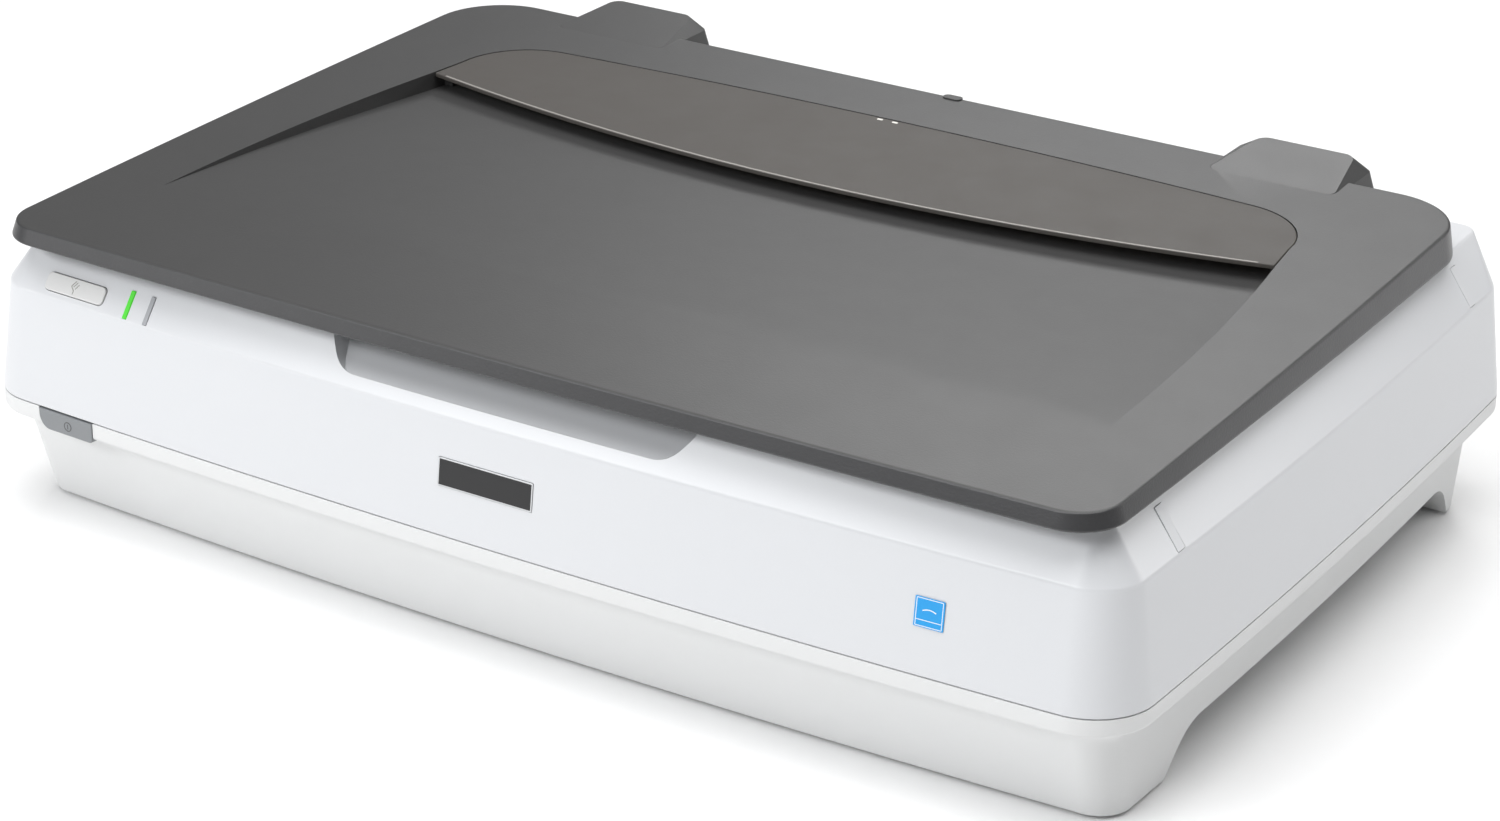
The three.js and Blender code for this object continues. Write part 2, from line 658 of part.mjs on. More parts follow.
function documentCover() {
  const outer = loft(
    [inset(COVER, -COVER_RIM_OUT + 1.4), COVER_FOOT_Z],
    [inset(COVER, -COVER_RIM_OUT), COVER_RIM_Z],
    [inset(COVER, -0.8), (y) => coverTopZ(y) - 0.6],
    [inset(COVER, 0.3), coverTopZ],
  );
  const hollow = loft(
    [inset(COVER, COVER_HOLLOW), COVER_FOOT_Z - 1],
    [inset(COVER, COVER_HOLLOW), LINER_HIGH_Z + 1.2],
    [inset(COVER, 4.2), (y) => coverTopZ(y) - COVER_WALL],
  );
  const lining = dish(COVER_WALL);
  const housings = joined(hingeHousing(1, 0), hingeHousing(-1, 0));
  const housingHollows = [hingeHousing(1, COVER_WALL), hingeHousing(-1, COVER_WALL)];
  const rearWall = block(-400, 400, 193.6, 196.6, 150, 162);
  const ribs = [];
  for (const x of [-HINGE_X - 24, -HINGE_X + 20, HINGE_X - 24, HINGE_X + 20]) {
    ribs.push(block(x, x + 4, 192, 217, 151, 170).intersect(housings));
  }
  const shell = cut(joined(outer, housings), cut(hollow, lining), ...housingHollows);
  const strong = joined(cut(shell, dish(0)), ...ribs, rearWall.intersect(outer));
  const ledge = slopingPlate(windowPoints(-0.1), -9.5, -WINDOW_THICK - 0.6)
    .subtract(slopingPlate(windowPoints(5), -12, 2))
    .intersect(block(-300, 300, 80, 160, DISH_FLOOR_Z - 1, 190));
  const pinBores = [-1, 1].map((side) => (
    barX(side * HINGE_X - 30, side * HINGE_X + 30, HINGE_Y, HINGE_Z, HINGE_PIN_R + 0.3, 16)
  ));
  const postRoom = [-1, 1].map((side) => block(
    side * HINGE_X - 19.5, side * HINGE_X + 19.5, 188, 214, 140, 167,
  ));
  const neckSlots = [-1, 1].map((side) => block(
    side * HINGE_X - 14, side * HINGE_X + 14, 200, 222, 140, HINGE_Z + 2,
  ));
  return cut(joined(strong, ledge), ...pinBores, ...postRoom, ...neckSlots);
}

// ---------------------------------------------------------------- hinge posts

function hingePost(side) {
  const x = side * HINGE_X;
  const stem = block(
    x - POST.width / 2, x + POST.width / 2,
    HINGE_Y - POST.depth / 2, HINGE_Y + POST.depth / 2, POST_Z, SOCKET_FLOOR_Z + 2,
  );
  const flange = block(x - 17, x + 17, HINGE_Y - 7, HINGE_Y + 7, SOCKET_FLOOR_Z + GAP, SOCKET_FLOOR_Z + 3);
  const neck = block(x - 12, x + 12, HINGE_Y - 3, HINGE_Y + 3, SOCKET_FLOOR_Z + 2, HINGE_Z);
  const barrel = barX(x - 17, x + 17, HINGE_Y, HINGE_Z, 6.5);
  const bore = barX(x - 20, x + 20, HINGE_Y, HINGE_Z, HINGE_PIN_R + 0.3, 16);
  return cut(joined(stem, flange, neck, barrel), bore);
}

// ---------------------------------------------------------------- carriage

function carriageHousing() {
  const x0 = HOME_X - CARRIAGE_HALF;
  const x1 = HOME_X + CARRIAGE_HALF;
  const body = cut(
    block(x0, x1, CARRIAGE_FRONT, CARRIAGE_REAR, CARRIAGE_Z, CARRIAGE_TOP),
    block(x0 + 2.5, x1 - 2.5, CARRIAGE_FRONT + 2.5, CARRIAGE_REAR - 2.5, CARRIAGE_Z + 2.5, CARRIAGE_TOP + 1),
  );
  // The lock's stem leaves by the passage. Its turned finger is caught in the wider room.
  const lockRoof = block(x0, LOCK.x + 20, LOCK.y - 9, LOCK.y + 21, CARRIAGE_Z, 75);
  const lockRoom = block(LOCK.x - 8, LOCK.x + 17, LOCK.y - 6, LOCK.y + 17, CARRIAGE_Z - 1, 72);
  const lockPassage = block(x0 - 1, LOCK.x, LOCK.y - 6, LOCK.y + 6, CARRIAGE_Z - 1, 72);
  const arms = [-1, 1].map((side) => {
    const x = HOME_X + side * 22;
    return cut(
      block(x - 8, x + 8, CARRIAGE_REAR - 1, ROD.y + 9, ROD.z - 9, ROD.z + 9),
      barX(x - 10, x + 10, ROD.y, ROD.z, ROD.radius + 2.4),
    );
  });
  const skid = block(x0 + 10, x1 - 10, CARRIAGE_FRONT - 7, CARRIAGE_FRONT + 1, 70, 76);
  return cut(joined(body, lockRoof, ...arms, skid), lockRoom, lockPassage);
}

function rodBush(side) {
  const x = HOME_X + side * 22;
  return cut(
    barX(x - 8, x + 8, ROD.y, ROD.z, ROD.radius + 2),
    barX(x - 10, x + 10, ROD.y, ROD.z, ROD.radius + 0.35),
  );
}

function beltClamp() {
  const nearRun = BELT.y - PULLEY_R;
  return cut(
    block(HOME_X - 8, HOME_X + 8, nearRun - 4, nearRun + 4, BELT.z - 3, ROD.z - 3),
    block(HOME_X - 10, HOME_X + 10, nearRun - 1.1, nearRun + 1.1, BELT.z - 4, BELT.z + BELT.height + 0.6),
    barX(HOME_X - 10, HOME_X + 10, ROD.y, ROD.z, ROD.radius + 2.4),
  );
}

// Foot that carries one end of the guide rod
function rodClamp(side) {
  const span = (near, far) => (side > 0 ? [near, far] : [-far, -near]);
  return cut(
    joined(
      block(...span(299, 306), ROD.y - 24, ROD.y - 4, TRAY_TOP_Z + GAP, ROD.z + 9),
      block(...span(290, 306), ROD.y - 9, ROD.y + 3, ROD.z - 8, ROD.z + 9),
    ),
    barX(-ROD.half - 0.3, ROD.half + 0.3, ROD.y, ROD.z, ROD.radius + 0.3),
  );
}

// ---------------------------------------------------------------- drive

function gearPoints(teeth) {
  const pitch = (MODULE * teeth) / 2;
  const levels = [
    [pitch - 1.25 * MODULE, 0.32], [pitch, 0.22], [pitch + 0.9 * MODULE, 0.1],
  ];
  const points = [];
  for (let tooth = 0; tooth < teeth; tooth += 1) {
    const flank = levels.map(([radius, halfWidth]) => [radius, -halfWidth]);
    const back = levels.map(([radius, halfWidth]) => [radius, halfWidth]).reverse();
    for (const [radius, offset] of [...flank, ...back]) {
      const angle = ((tooth + offset) / teeth) * 2 * Math.PI;
      points.push(new THREE.Vector2(radius * Math.cos(angle), radius * Math.sin(angle)));
    }
  }
  return points;
}

const GEAR_PLACE = [-BELT.reach, BELT.y];
const pinionTurn = THREE.MathUtils.degToRad(PINION_ANGLE);
const PINION_PLACE = [
  GEAR_PLACE[0] + GEAR_SPACING * Math.cos(pinionTurn),
  GEAR_PLACE[1] + GEAR_SPACING * Math.sin(pinionTurn),
];
const GEAR_Z = 52;

function reductionGear() {
  const gear = extrudeUp(gearPoints(GEAR_TEETH), GEAR_Z, GEAR_Z + 4);
  const hub = bar(0, 0, PULLEY_R + 1.6, GEAR_Z + 3, BELT.z - 1);
  const drum = bar(0, 0, PULLEY_R - BELT.thick / 2 - 0.3, BELT.z - 2, BELT.z + BELT.height + 2);
  const bore = bar(0, 0, 2.9, 0, 100, 16);
  return cut(joined(gear, hub, drum), bore).rotate([0, 0, PINION_ANGLE]).translate([...GEAR_PLACE, 0]);
}

function motorPinion() {
  const toothTurn = 180 / PINION_TEETH;
  const pinion = cut(extrudeUp(gearPoints(PINION_TEETH), GEAR_Z, GEAR_Z + 5), bar(0, 0, 1.9, 0, 100, 12));
  return pinion.rotate([0, 0, PINION_ANGLE + 180 + toothTurn]).translate([...PINION_PLACE, 0]);
}

function motorBracket() {
  const [gx, gy] = GEAR_PLACE;
  const [px, py] = PINION_PLACE;
  const plate = block(px - 24, px + 20, py - 22, gy + 12, 48, 50);
  const gearPin = bar(gx, gy, 2.5, 49, BELT.z + BELT.height + 4, 16);
  const legs = [
    block(px - 24, px - 18, py - 22, py - 16, TRAY_TOP_Z + GAP, 49),
    block(px + 14, px + 20, py - 22, py - 16, TRAY_TOP_Z + GAP, 49),
    block(px + 14, px + 20, gy + 6, gy + 12, TRAY_TOP_Z + GAP, 49),
  ];
  return cut(joined(plate, gearPin, ...legs), bar(px, py, 4, 40, 60, 16));
}

function driveMotor() {
  const [px, py] = PINION_PLACE;
  const can = bar(px, py, 15, TRAY_TOP_Z + 1, 47.6, 32);
  const nose = bar(px, py, 3.4, 47, 51, 16);
  const shaft = bar(px, py, 1.5, 50, GEAR_Z + 5, 12);
  return joined(can, nose, shaft);
}

function idlerPulley() {
  return cut(
    joined(
      bar(BELT.reach, BELT.y, PULLEY_R - BELT.thick / 2 - 0.3, BELT.z - 2, BELT.z + BELT.height + 2),
      bar(BELT.reach, BELT.y, PULLEY_R + 1.6, BELT.z - 3, BELT.z - 0.8),
    ),
    bar(BELT.reach, BELT.y, 2.9, 0, 100, 16),
  );
}

function idlerBracket() {
  const foot = block(BELT.reach - 14, BELT.reach + 12, BELT.y - 9, BELT.y + 9, TRAY_TOP_Z + GAP, 28);
  const column = block(BELT.reach - 5, BELT.reach + 5, BELT.y - 5, BELT.y + 5, 27, BELT.z - 5);
  const pin = bar(BELT.reach, BELT.y, 2.5, BELT.z - 6, BELT.z + BELT.height + 4, 16);
  const hook = block(BELT.reach - 14, BELT.reach - 12, BELT.y - 3, BELT.y + 3, 27, 42);
  return joined(foot, column, pin, hook);
}

// Closed belt loop round both pulleys
function driveBelt() {
  const loop = (radius) => {
    const points = [];
    for (const [centre, start] of [[BELT.reach, -90], [-BELT.reach, 90]]) {
      for (let step = 0; step <= 10; step += 1) {
        const angle = THREE.MathUtils.degToRad(start + 18 * step);
        points.push(new THREE.Vector2(
          centre + radius * Math.cos(angle),
          BELT.y + radius * Math.sin(angle),
        ));
      }
    }
    return points;
  };
  const top = BELT.z + BELT.height;
  return cut(
    extrudeUp(loop(PULLEY_R + BELT.thick / 2), BELT.z, top),
    extrudeUp(loop(PULLEY_R - BELT.thick / 2), BELT.z - 1, top + 1),
  );
}

// Open coil that pulls the idler bracket outwards
function tensionSpring() {
  const turns = 6;
  const radius = 2.6;
  const start = BELT.reach - 14.5;
  const length = 24;
  const points = [];
  for (let step = 0; step <= turns * 8; step += 1) {
    const angle = (step * Math.PI) / 4;
    points.push(new THREE.Vector3(
      start - (length * step) / (turns * 8),
      BELT.y + radius * Math.cos(angle),
      37 + radius * Math.sin(angle),
    ));
  }
  const wire = new THREE.Shape();
  wire.absarc(0, 0, 0.5, 0, Math.PI * 2, false);
  return new THREE.ExtrudeGeometry(wire, {
    steps: turns * 8, curveSegments: 3, bevelEnabled: false,
    extrudePath: new THREE.CatmullRomCurve3(points),
  });
}

// ---------------------------------------------------------------- boards and sockets

function mainBoard() {
  const board = block(70, 270, 30, 160, 30, 31.6);
  const chips = [[110, 60], [150, 120], [200, 70], [240, 120]].map(([x, y]) => (
    block(x - 12, x + 12, y - 12, y + 12, 31, 34)
  ));
  const posts = [[76, 36], [264, 36], [264, 154], [76, 154]].map(([x, y]) => (
    bar(x, y, 3, TRAY_TOP_Z + GAP, 30.5, 12)
  ));
  return joined(board, ...chips, ...posts);
}

function portShell(port, depth, wall, tongue) {
  const { x, z, width, height } = port;
  const face = 213.5;
  const shell = cut(
    block(x - width / 2, x + width / 2, face - depth, face, z - height / 2, z + height / 2),
    block(
      x - width / 2 + wall, x + width / 2 - wall, face - depth + 2, face + 1,
      z - height / 2 + wall, z + height / 2 - wall,
    ),
  );
  return joined(shell, ...tongue);
}

const inletPins = [-7, 0, 7].map((shift) => block(
  INLET.x + shift - 1, INLET.x + shift + 1, 192, 206,
  INLET.z + (shift === 0 ? -1 : 1) * 2 - 2, INLET.z + (shift === 0 ? -1 : 1) * 2 + 2,
));
const usbTongue = [block(USB.x - 2.8, USB.x + 2.8, 194.5, 207, USB.z - 1.6, USB.z + 1.6)];
const optionTongue = [block(OPTION.x - 15, OPTION.x + 15, 194.5, 207, OPTION.z - 1.5, OPTION.z + 1.5)];

// ---------------------------------------------------------------- assembly

const frameX = SCAN_X / 2;
const frameY = SCAN_Y / 2;

addPart('lower_casing', lowerCasing(), basePlastic);
addPart('upper_casing', upperCasing(), whitePlastic);
addPart('scan_glass', block(
  -frameX - GLASS_LAP, frameX + GLASS_LAP, GLASS_Y - frameY - GLASS_LAP, GLASS_Y + frameY + GLASS_LAP,
  DECK_Z - GLASS_THICK - 0.65, DECK_Z - 0.65,
), glassClear);
addPart('document_guide_frame', cut(
  block(
    -frameX - FRAME_WIDTH, frameX + FRAME_WIDTH,
    GLASS_Y - frameY - FRAME_WIDTH, GLASS_Y + frameY + FRAME_WIDTH, DECK_Z + GAP, DECK_Z + 1.5,
  ),
  block(-frameX, frameX, GLASS_Y - frameY, GLASS_Y + frameY, DECK_Z - 1, DECK_Z + 3),
), whitePlastic);
addPart('calibration_strip', block(
  -frameX - 11, -frameX + 6, GLASS_Y - frameY + 6, GLASS_Y + frameY - 6, 136.8, 138.6,
), foamWhite);
addPart('front_nameplate', plateIn(
  nameplateFrame, roundedPoints(NAMEPLATE.width, NAMEPLATE.height, 0.5, 1), -0.85, 0.35,
), plateBlack);
addPart('blank_front_label', plateIn(
  labelFrame, roundedPoints(LABEL.width, LABEL.height, 0.5, 1), 0.3, 0.75,
), labelBlue);
addPart('ready_lamp', plateIn(
  lampFrame(READY_LAMP_X), roundedPoints(LAMP.width, LAMP.height, 0.4, 1), -3.4, 0.15,
), lampGreen);
addPart('error_lamp', plateIn(
  lampFrame(ERROR_LAMP_X), roundedPoints(LAMP.width, LAMP.height, 0.4, 1), -3.4, 0.15,
), lampGrey);
for (const [place, side, y] of PLUG_PLACES) {
  addPart(`trim_plug_${place}`, plateIn(
    sideBevelFrame(side, y, PLUG.up), roundedPoints(PLUG.width, PLUG.height, 0.6, 1), -PLUG.thick, 0,
  ), whitePlastic);
}
addPart('control_board', plateIn(
  frontBevelFrame(-245, 8.3), roundedPoints(84, 14, 1, 1), -10, -8.4,
), boardGreen);

FOOT_PLACES.forEach(([x, y], index) => {
  addPart(`rubber_foot_${index + 1}`, bar(x, y, FOOT_R, 0, FOOT_H, 32), rubber);
});
SCREW_PLACES.forEach(([x, y], index) => {
  const head = bar(x, y, 5.2, TRAY_BOTTOM_Z - 2.6, TRAY_BOTTOM_Z - GAP, 16);
  const shank = bar(x, y, 2.4, TRAY_BOTTOM_Z - 1, TRAY_TOP_Z + 6, 12);
  const slot = block(x - 3, x + 3, y - 0.6, y + 0.6, TRAY_BOTTOM_Z - 3, TRAY_BOTTOM_Z - 1.6);
  addPart(`case_screw_${index + 1}`, cut(joined(head, shank), slot), zinc);
});

addPart('power_inlet', portShell(INLET, 22, 2, inletPins), blackPlastic);
addPart('usb_port', portShell(USB, 20, 1, usbTongue), steel);
addPart('option_port', portShell(OPTION, 20, 1.4, optionTongue), steel);
addPart('main_board', mainBoard(), boardGreen);
addPart('power_supply', joined(
  block(-200, -60, 40, 130, 30, 31.6),
  block(-190, -150, 60, 110, 31, 52),
  block(-130, -90, 50, 90, 31, 48),
  ...[[-196, 44], [-64, 44], [-64, 126], [-196, 126]].map(([x, y]) => (
    bar(x, y, 3, TRAY_TOP_Z + GAP, 30.5, 12)
  )),
), boardGreen);

addPart('guide_rod', barX(-ROD.half, ROD.half, ROD.y, ROD.z, ROD.radius), steel);
for (const [name, side] of [['left', -1], ['right', 1]]) {
  addPart(`rod_clamp_${name}`, rodClamp(side), zinc);
}
addPart('support_rail', joined(
  block(-296, 296, -190, -172, 66.5, 69.5),
  block(-296, 296, -192, -190, 58, 69.5),
  ...[-270, 0, 270].map((x) => block(x - 8, x + 8, -191, -184, TRAY_TOP_Z + GAP, 67)),
), zinc);
addPart('motor_bracket', motorBracket(), zinc);
addPart('drive_motor', driveMotor(), steel);
addPart('drive_belt', driveBelt(), rubber);
addPart('idler_bracket', idlerBracket(), zinc);
addPart('tension_spring', tensionSpring(), steel);

addPart('hinge_post_left', hingePost(-1), blackPlastic);
addPart('hinge_post_right', hingePost(1), blackPlastic);

addPart('document_cover', documentCover(), coverPlastic);
addPart('cover_liner', loft(
  [inset(COVER, 1), LINER_LOW_Z],
  [inset(COVER, 1), LINER_HIGH_Z],
), coverPlastic);
addPart('document_mat', extrudeUp(
  roundedPoints(SCAN_X - 5, SCAN_Y - 5, 4).map((point) => point.add(new THREE.Vector2(0, GLASS_Y))),
  DECK_Z - 0.2, 148.5,
), foamWhite);
addPart('smoke_window', slopingPlate(windowPoints(0.45), -WINDOW_THICK - 0.15, -0.15), smokePlastic);
for (const [name, side] of [['left', -1], ['right', 1]]) {
  addPart(`hinge_pin_${name}`, barX(
    side * HINGE_X - 25, side * HINGE_X + 25, HINGE_Y, HINGE_Z, HINGE_PIN_R, 16,
  ), steel);
  addPart(`cover_bumper_${name}`, bar(side * 270, -188, 4, DECK_Z + GAP, 148.5, 16), rubber);
}

addPart('scan_button', plateIn(
  scanButtonFrame, roundedPoints(SCAN_BUTTON.width, SCAN_BUTTON.height, SCAN_BUTTON.radius), -3.6, 0.6,
), buttonGrey);
addPart('power_button', powerButtonSolid(0, 0.5, 9), powerGrey);

addPart('carriage_housing', carriageHousing(), blackPlastic);
addPart('carriage_bush_left', rodBush(-1), acetal);
addPart('carriage_bush_right', rodBush(1), acetal);
addPart('belt_clamp', beltClamp(), blackPlastic);
addPart('lamp_bar', block(HOME_X - 22, HOME_X - 8, -160, 150, 121, 129), foamWhite);
addPart('carriage_mirror', toSolid(
  new THREE.BoxGeometry(2, 300, 20).rotateY(Math.PI / 4).translate(HOME_X + 12, -5, 112),
), mirrorFace);
addPart('lens_block', joined(
  block(HOME_X - 14, HOME_X + 14, -20, 10, CARRIAGE_Z + 2.85, 78),
  barX(HOME_X - 22, HOME_X + 14, -5, 84, 9),
), blackPlastic);
addPart('sensor_board', block(HOME_X - 28, HOME_X - 26.4, -60, 50, 68, 100), boardGreen);

addPart('motor_pinion', motorPinion(), acetal);
addPart('reduction_gear', reductionGear(), acetal);
addPart('idler_pulley', idlerPulley(), acetal);
addPart('transport_lock', transportLock(), powerGrey);

export default scanner;
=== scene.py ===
"""Looks of the A3 flatbed scanner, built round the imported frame.

Shapes are worked out in millimetres and stored in metres. X is to the user's right, -Y is the user's
side, and Z is up.
"""
import json
import math

import bmesh
import bpy
from mathutils import Matrix, Vector


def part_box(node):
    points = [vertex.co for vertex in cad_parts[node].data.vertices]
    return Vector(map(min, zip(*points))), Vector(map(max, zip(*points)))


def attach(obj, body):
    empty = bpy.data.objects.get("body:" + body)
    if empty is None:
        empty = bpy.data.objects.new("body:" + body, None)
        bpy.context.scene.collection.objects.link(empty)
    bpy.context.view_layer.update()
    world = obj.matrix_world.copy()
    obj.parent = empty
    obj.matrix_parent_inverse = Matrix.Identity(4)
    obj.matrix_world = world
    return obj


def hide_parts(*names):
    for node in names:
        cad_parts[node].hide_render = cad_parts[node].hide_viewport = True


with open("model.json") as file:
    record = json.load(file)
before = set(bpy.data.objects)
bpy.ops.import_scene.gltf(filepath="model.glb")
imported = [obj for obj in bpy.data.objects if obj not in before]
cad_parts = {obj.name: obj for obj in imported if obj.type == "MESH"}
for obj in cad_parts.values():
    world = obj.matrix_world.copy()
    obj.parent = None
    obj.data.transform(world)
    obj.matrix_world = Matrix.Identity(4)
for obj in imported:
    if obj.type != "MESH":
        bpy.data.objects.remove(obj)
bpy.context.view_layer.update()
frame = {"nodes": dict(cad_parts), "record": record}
MM = 0.001


def node_box(name):
    """Lowest and highest corner of a CAD node, in millimetres."""
    low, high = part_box(name)
    return low / MM, high / MM


# ------------------------------------------------------------------ sizes

GAP = 0.35                        # clearance round what sits in a pocket or a window
WALL = 3.0
lower_low, lower_high = node_box("lower_casing")
upper_low, upper_high = node_box("upper_casing")
glass_low, glass_high = node_box("scan_glass")
mat_low, mat_high = node_box("document_mat")
cover_low, cover_high = node_box("document_cover")
liner_low, liner_high = node_box("cover_liner")
pin_low, pin_high = node_box("hinge_pin_right")
post_low = node_box("hinge_post_right")[0]

SEAM_Z = 63.6                     # where the two casings meet
DECK_Z = upper_high.z
SHOULDER_Z = 121.4                # where the upright wall turns into the top bevel
LEAN = 7.0                        # how far the upright wall leans in by its top
BEVEL_RUN = 17.3                  # how far the front and side bevels run in
REAR_BEVEL_RUN = 4.0
FRONT_BOW = 8.7
SIDE_BOW = 4.2

CASING = dict(
    half=lower_high.x - SIDE_BOW, front=lower_low.y + FRONT_BOW, rear=lower_high.y,
    front_radius=29.0, rear_radius=32.0, front_bow=FRONT_BOW, side_bow=SIDE_BOW,
)
RIM_OUT = 3.2                     # how far the cover's rim stands out past its top face
COVER_FRONT_BOW = 3.8
COVER_SIDE_BOW = 2.1
COVER = dict(
    half=cover_high.x - RIM_OUT - COVER_SIDE_BOW, front=cover_low.y + RIM_OUT + COVER_FRONT_BOW,
    rear=190.9, front_radius=20.0, rear_radius=38.5, front_bow=COVER_FRONT_BOW, side_bow=COVER_SIDE_BOW,
)
COVER_FOOT_Z = cover_low.z
COVER_RIM_Z = COVER_FOOT_Z + 1.0
COVER_FRONT_Z = COVER_FOOT_Z + 8.8
COVER_HOLLOW = 0.5                # how far its hollow lies in from the edge of the top face
COVER_RISE = 8.9 / 400            # slope of the top towards the rear
COVER_WALL = 2.6

# The dish slopes down from a crease near the front to a flat floor under the window.
DISH_CREASE_Y = -137.0
DISH_FRONT_HALF = 268.0
DISH_REAR_HALF = 250.0
DISH_SIDE_END_Y = 72.0
DISH_SIDE_DRAW = 15.0             # how far each side draws in between the crease and its end
DISH_CORNER = 42.0
DISH_REAR_Y = 133.5
DISH_REAR_BOW = 10.5
DISH_FLOOR_Z = 153.4
DISH_FLOOR_Y = 44.0

WINDOW_FRONT_Y = 42.8             # foremost point of the window's hollow front edge
WINDOW_FRONT_BOW = 29.5
WINDOW_HALF = 253.0
WINDOW_THICK = 2.4

HINGE_X = (pin_low.x + pin_high.x) / 2
HINGE_Y = (pin_low.y + pin_high.y) / 2
HINGE_Z = (pin_low.z + pin_high.z) / 2
PIN_RADIUS = (pin_high.y - pin_low.y) / 2
SOCKET_FLOOR_Z = 139.0
POST_WIDTH, POST_DEPTH = 26.0, 9.0
NOTCH_INNER, NOTCH_OUTER, NOTCH_FRONT = 44.0, 46.0, 13.5  # reach of a hinge notch from the pin's middle
ROOF_START_Y = 170.0              # where the roof of a hinge housing leaves the top face
ROOF_RISE = 5.4 / 46.6

TRAY_BOTTOM_Z = 21.5
TRAY_TOP_Z = 24.5
SKIRT_Z = lower_low.z
FLANGE_Z = 55.0
STEP_IN = 13.6                    # how far the skirts stand in under the flange
STEP_Z = 43.0
SKIRT_BEND_Z = 49.5               # where a skirt turns out into the flange
FLOOR_INSET = (13.5, 26.8, 24.6)  # side, front, rear, at the foot of the skirts
ARCH_FOOT_Y = (-150.0, 184.0)     # open stretch between the skirts at the sides, at the floor
ARCH_TOP_Y = (-127.0, 172.0)
SCREW_HOLE_RADIUS = 3.4
GLASS_LAP = 4.0                   # how far the shelf reaches in under the glass

# Small parts: x along the front, and up the bevel from its foot or z on the wall.
SCAN_BUTTON = dict(x=-263.0, up=8.3, width=39.0, height=9.4, radius=2.6)
READY_LAMP_X, ERROR_LAMP_X = -227.3, -214.0
LAMP = dict(up=8.3, width=2.6, height=14.6)
NAMEPLATE = dict(x=-3.5, z=95.0, width=53.5, height=14.0)
LABEL = dict(x=230.0, z=93.4, width=14.6, height=14.0)
PLUG = dict(up=12.5, width=6.6, height=22.0, thick=1.4)
PLUG_PLACES = (
    ("right_front", 1, -158), ("right_rear", 1, 172), ("left_front", -1, -158), ("left_rear", -1, 172),
)
POWER_BUTTON_X = -263.0
POWER_SIGN = dict(z=57.4, outer=2.5, inner=2.08, bar=2.4, width=0.42)
LOCK = dict(x=-262.0, y=-98.0, radius=9.0)
PORTS = ((-212, 36, 27.4, 19.6), (-150, 35, 12.4, 11.4), (-90, 35, 39, 11))  # x, z, width, height

CORNER_STEPS = 20                 # points along a corner and along an edge of a plan
EDGE_STEPS = 36


# ------------------------------------------------------------------ mesh helpers

def new_object(name, mesh):
    piece = bpy.data.objects.new(name, mesh)
    bpy.context.scene.collection.objects.link(piece)
    return piece


def object_from(name, points, faces):
    """An object from points in millimetres, with its faces turned outwards."""
    mesh = bpy.data.meshes.new(name)
    mesh.from_pydata([Vector(point) * MM for point in points], [], faces)
    work = bmesh.new()
    work.from_mesh(mesh)
    bmesh.ops.recalc_face_normals(work, faces=work.faces)
    work.to_mesh(mesh)
    work.free()
    return new_object(name, mesh)


def outline(plan, corner_steps=CORNER_STEPS, edge_steps=EDGE_STEPS):
    """Rounded rectangle with a bowed front and bowed sides, anticlockwise."""
    half, front, rear = plan["half"], plan["front"], plan["rear"]
    front_radius, rear_radius = plan["front_radius"], plan["rear_radius"]
    corners = [
        (-half + front_radius, front + front_radius, front_radius, 180),
        (half - front_radius, front + front_radius, front_radius, 270),
        (half - rear_radius, rear - rear_radius, rear_radius, 0),
        (-half + rear_radius, rear - rear_radius, rear_radius, 90),
    ]
    points = []
    for index, (cx, cy, radius, start) in enumerate(corners):
        for step in range(corner_steps + 1):
            angle = math.radians(start + 90 * step / corner_steps)
            points.append((cx + radius * math.cos(angle), cy + radius * math.sin(angle)))
        nx, ny, next_radius, next_start = corners[(index + 1) % 4]
        angle = math.radians(next_start)
        arrive = (nx + next_radius * math.cos(angle), ny + next_radius * math.sin(angle))
        leave = points[-1]
        for step in range(1, edge_steps):
            t = step / edge_steps
            points.append(tuple(a + (b - a) * t for a, b in zip(leave, arrive)))
    middle, depth = (front + rear) / 2, (rear - front) / 2
    bowed = []
    for x, y in points:
        across = 1 - (x / half) ** 2
        forward = min(max((middle - y) / depth, 0), 1)
        along = 1 - ((y - middle) / depth) ** 2
        bowed.append((
            x + plan["side_bow"] * along * x / half,
            y - plan["front_bow"] * across * forward,
        ))
    return bowed


def inset(plan, side, front=None, rear=None):
    front = side if front is None else front
    rear = front if rear is None else rear
    return dict(
        plan, half=plan["half"] - side, front=plan["front"] + front, rear=plan["rear"] - rear,
        front_radius=max(plan["front_radius"] - side, 6.0),
        rear_radius=max(plan["rear_radius"] - side, 6.0),
    )


def loft(name, rings, corner_steps=CORNER_STEPS, edge_steps=EDGE_STEPS):
    """A closed solid skinned over (plan, height or height(y)) rings, from the lowest up."""
    points = []
    for plan, height in rings:
        for x, y in outline(plan, corner_steps, edge_steps):
            points.append((x, y, height(y) if callable(height) else height))
    count = len(points) // len(rings)
    faces = [tuple(reversed(range(count)))]
    for row in range(len(rings) - 1):
        for column in range(count):
            a = row * count + column
            b = row * count + (column + 1) % count
            faces.append((a, b, b + count, a + count))
    top = (len(rings) - 1) * count
    faces.append(tuple(range(top, top + count)))
    return object_from(name, points, faces)


def between(a, b, t):
    return tuple(p + (q - p) * t for p, q in zip(a, b))


def fillet(points, radii, steps=6):
    """A polyline of equal-length tuples with its inner corners rounded, one radius for each."""
    rounded = [points[0]]
    for before, corner, after, radius in zip(points, points[1:], points[2:], radii):
        start = between(corner, before, min(radius / math.dist(before, corner), 0.49))
        end = between(corner, after, min(radius / math.dist(corner, after), 0.49))
        for step in range(steps + 1):
            t = step / steps
            rounded.append(between(between(start, corner, t), between(corner, end, t), t))
    rounded.append(points[-1])
    return rounded


def casing_rings(profile):
    """Rings from (side, front, rear, z) rows."""
    return [(inset(CASING, side, front, rear), z) for side, front, rear, z in profile]


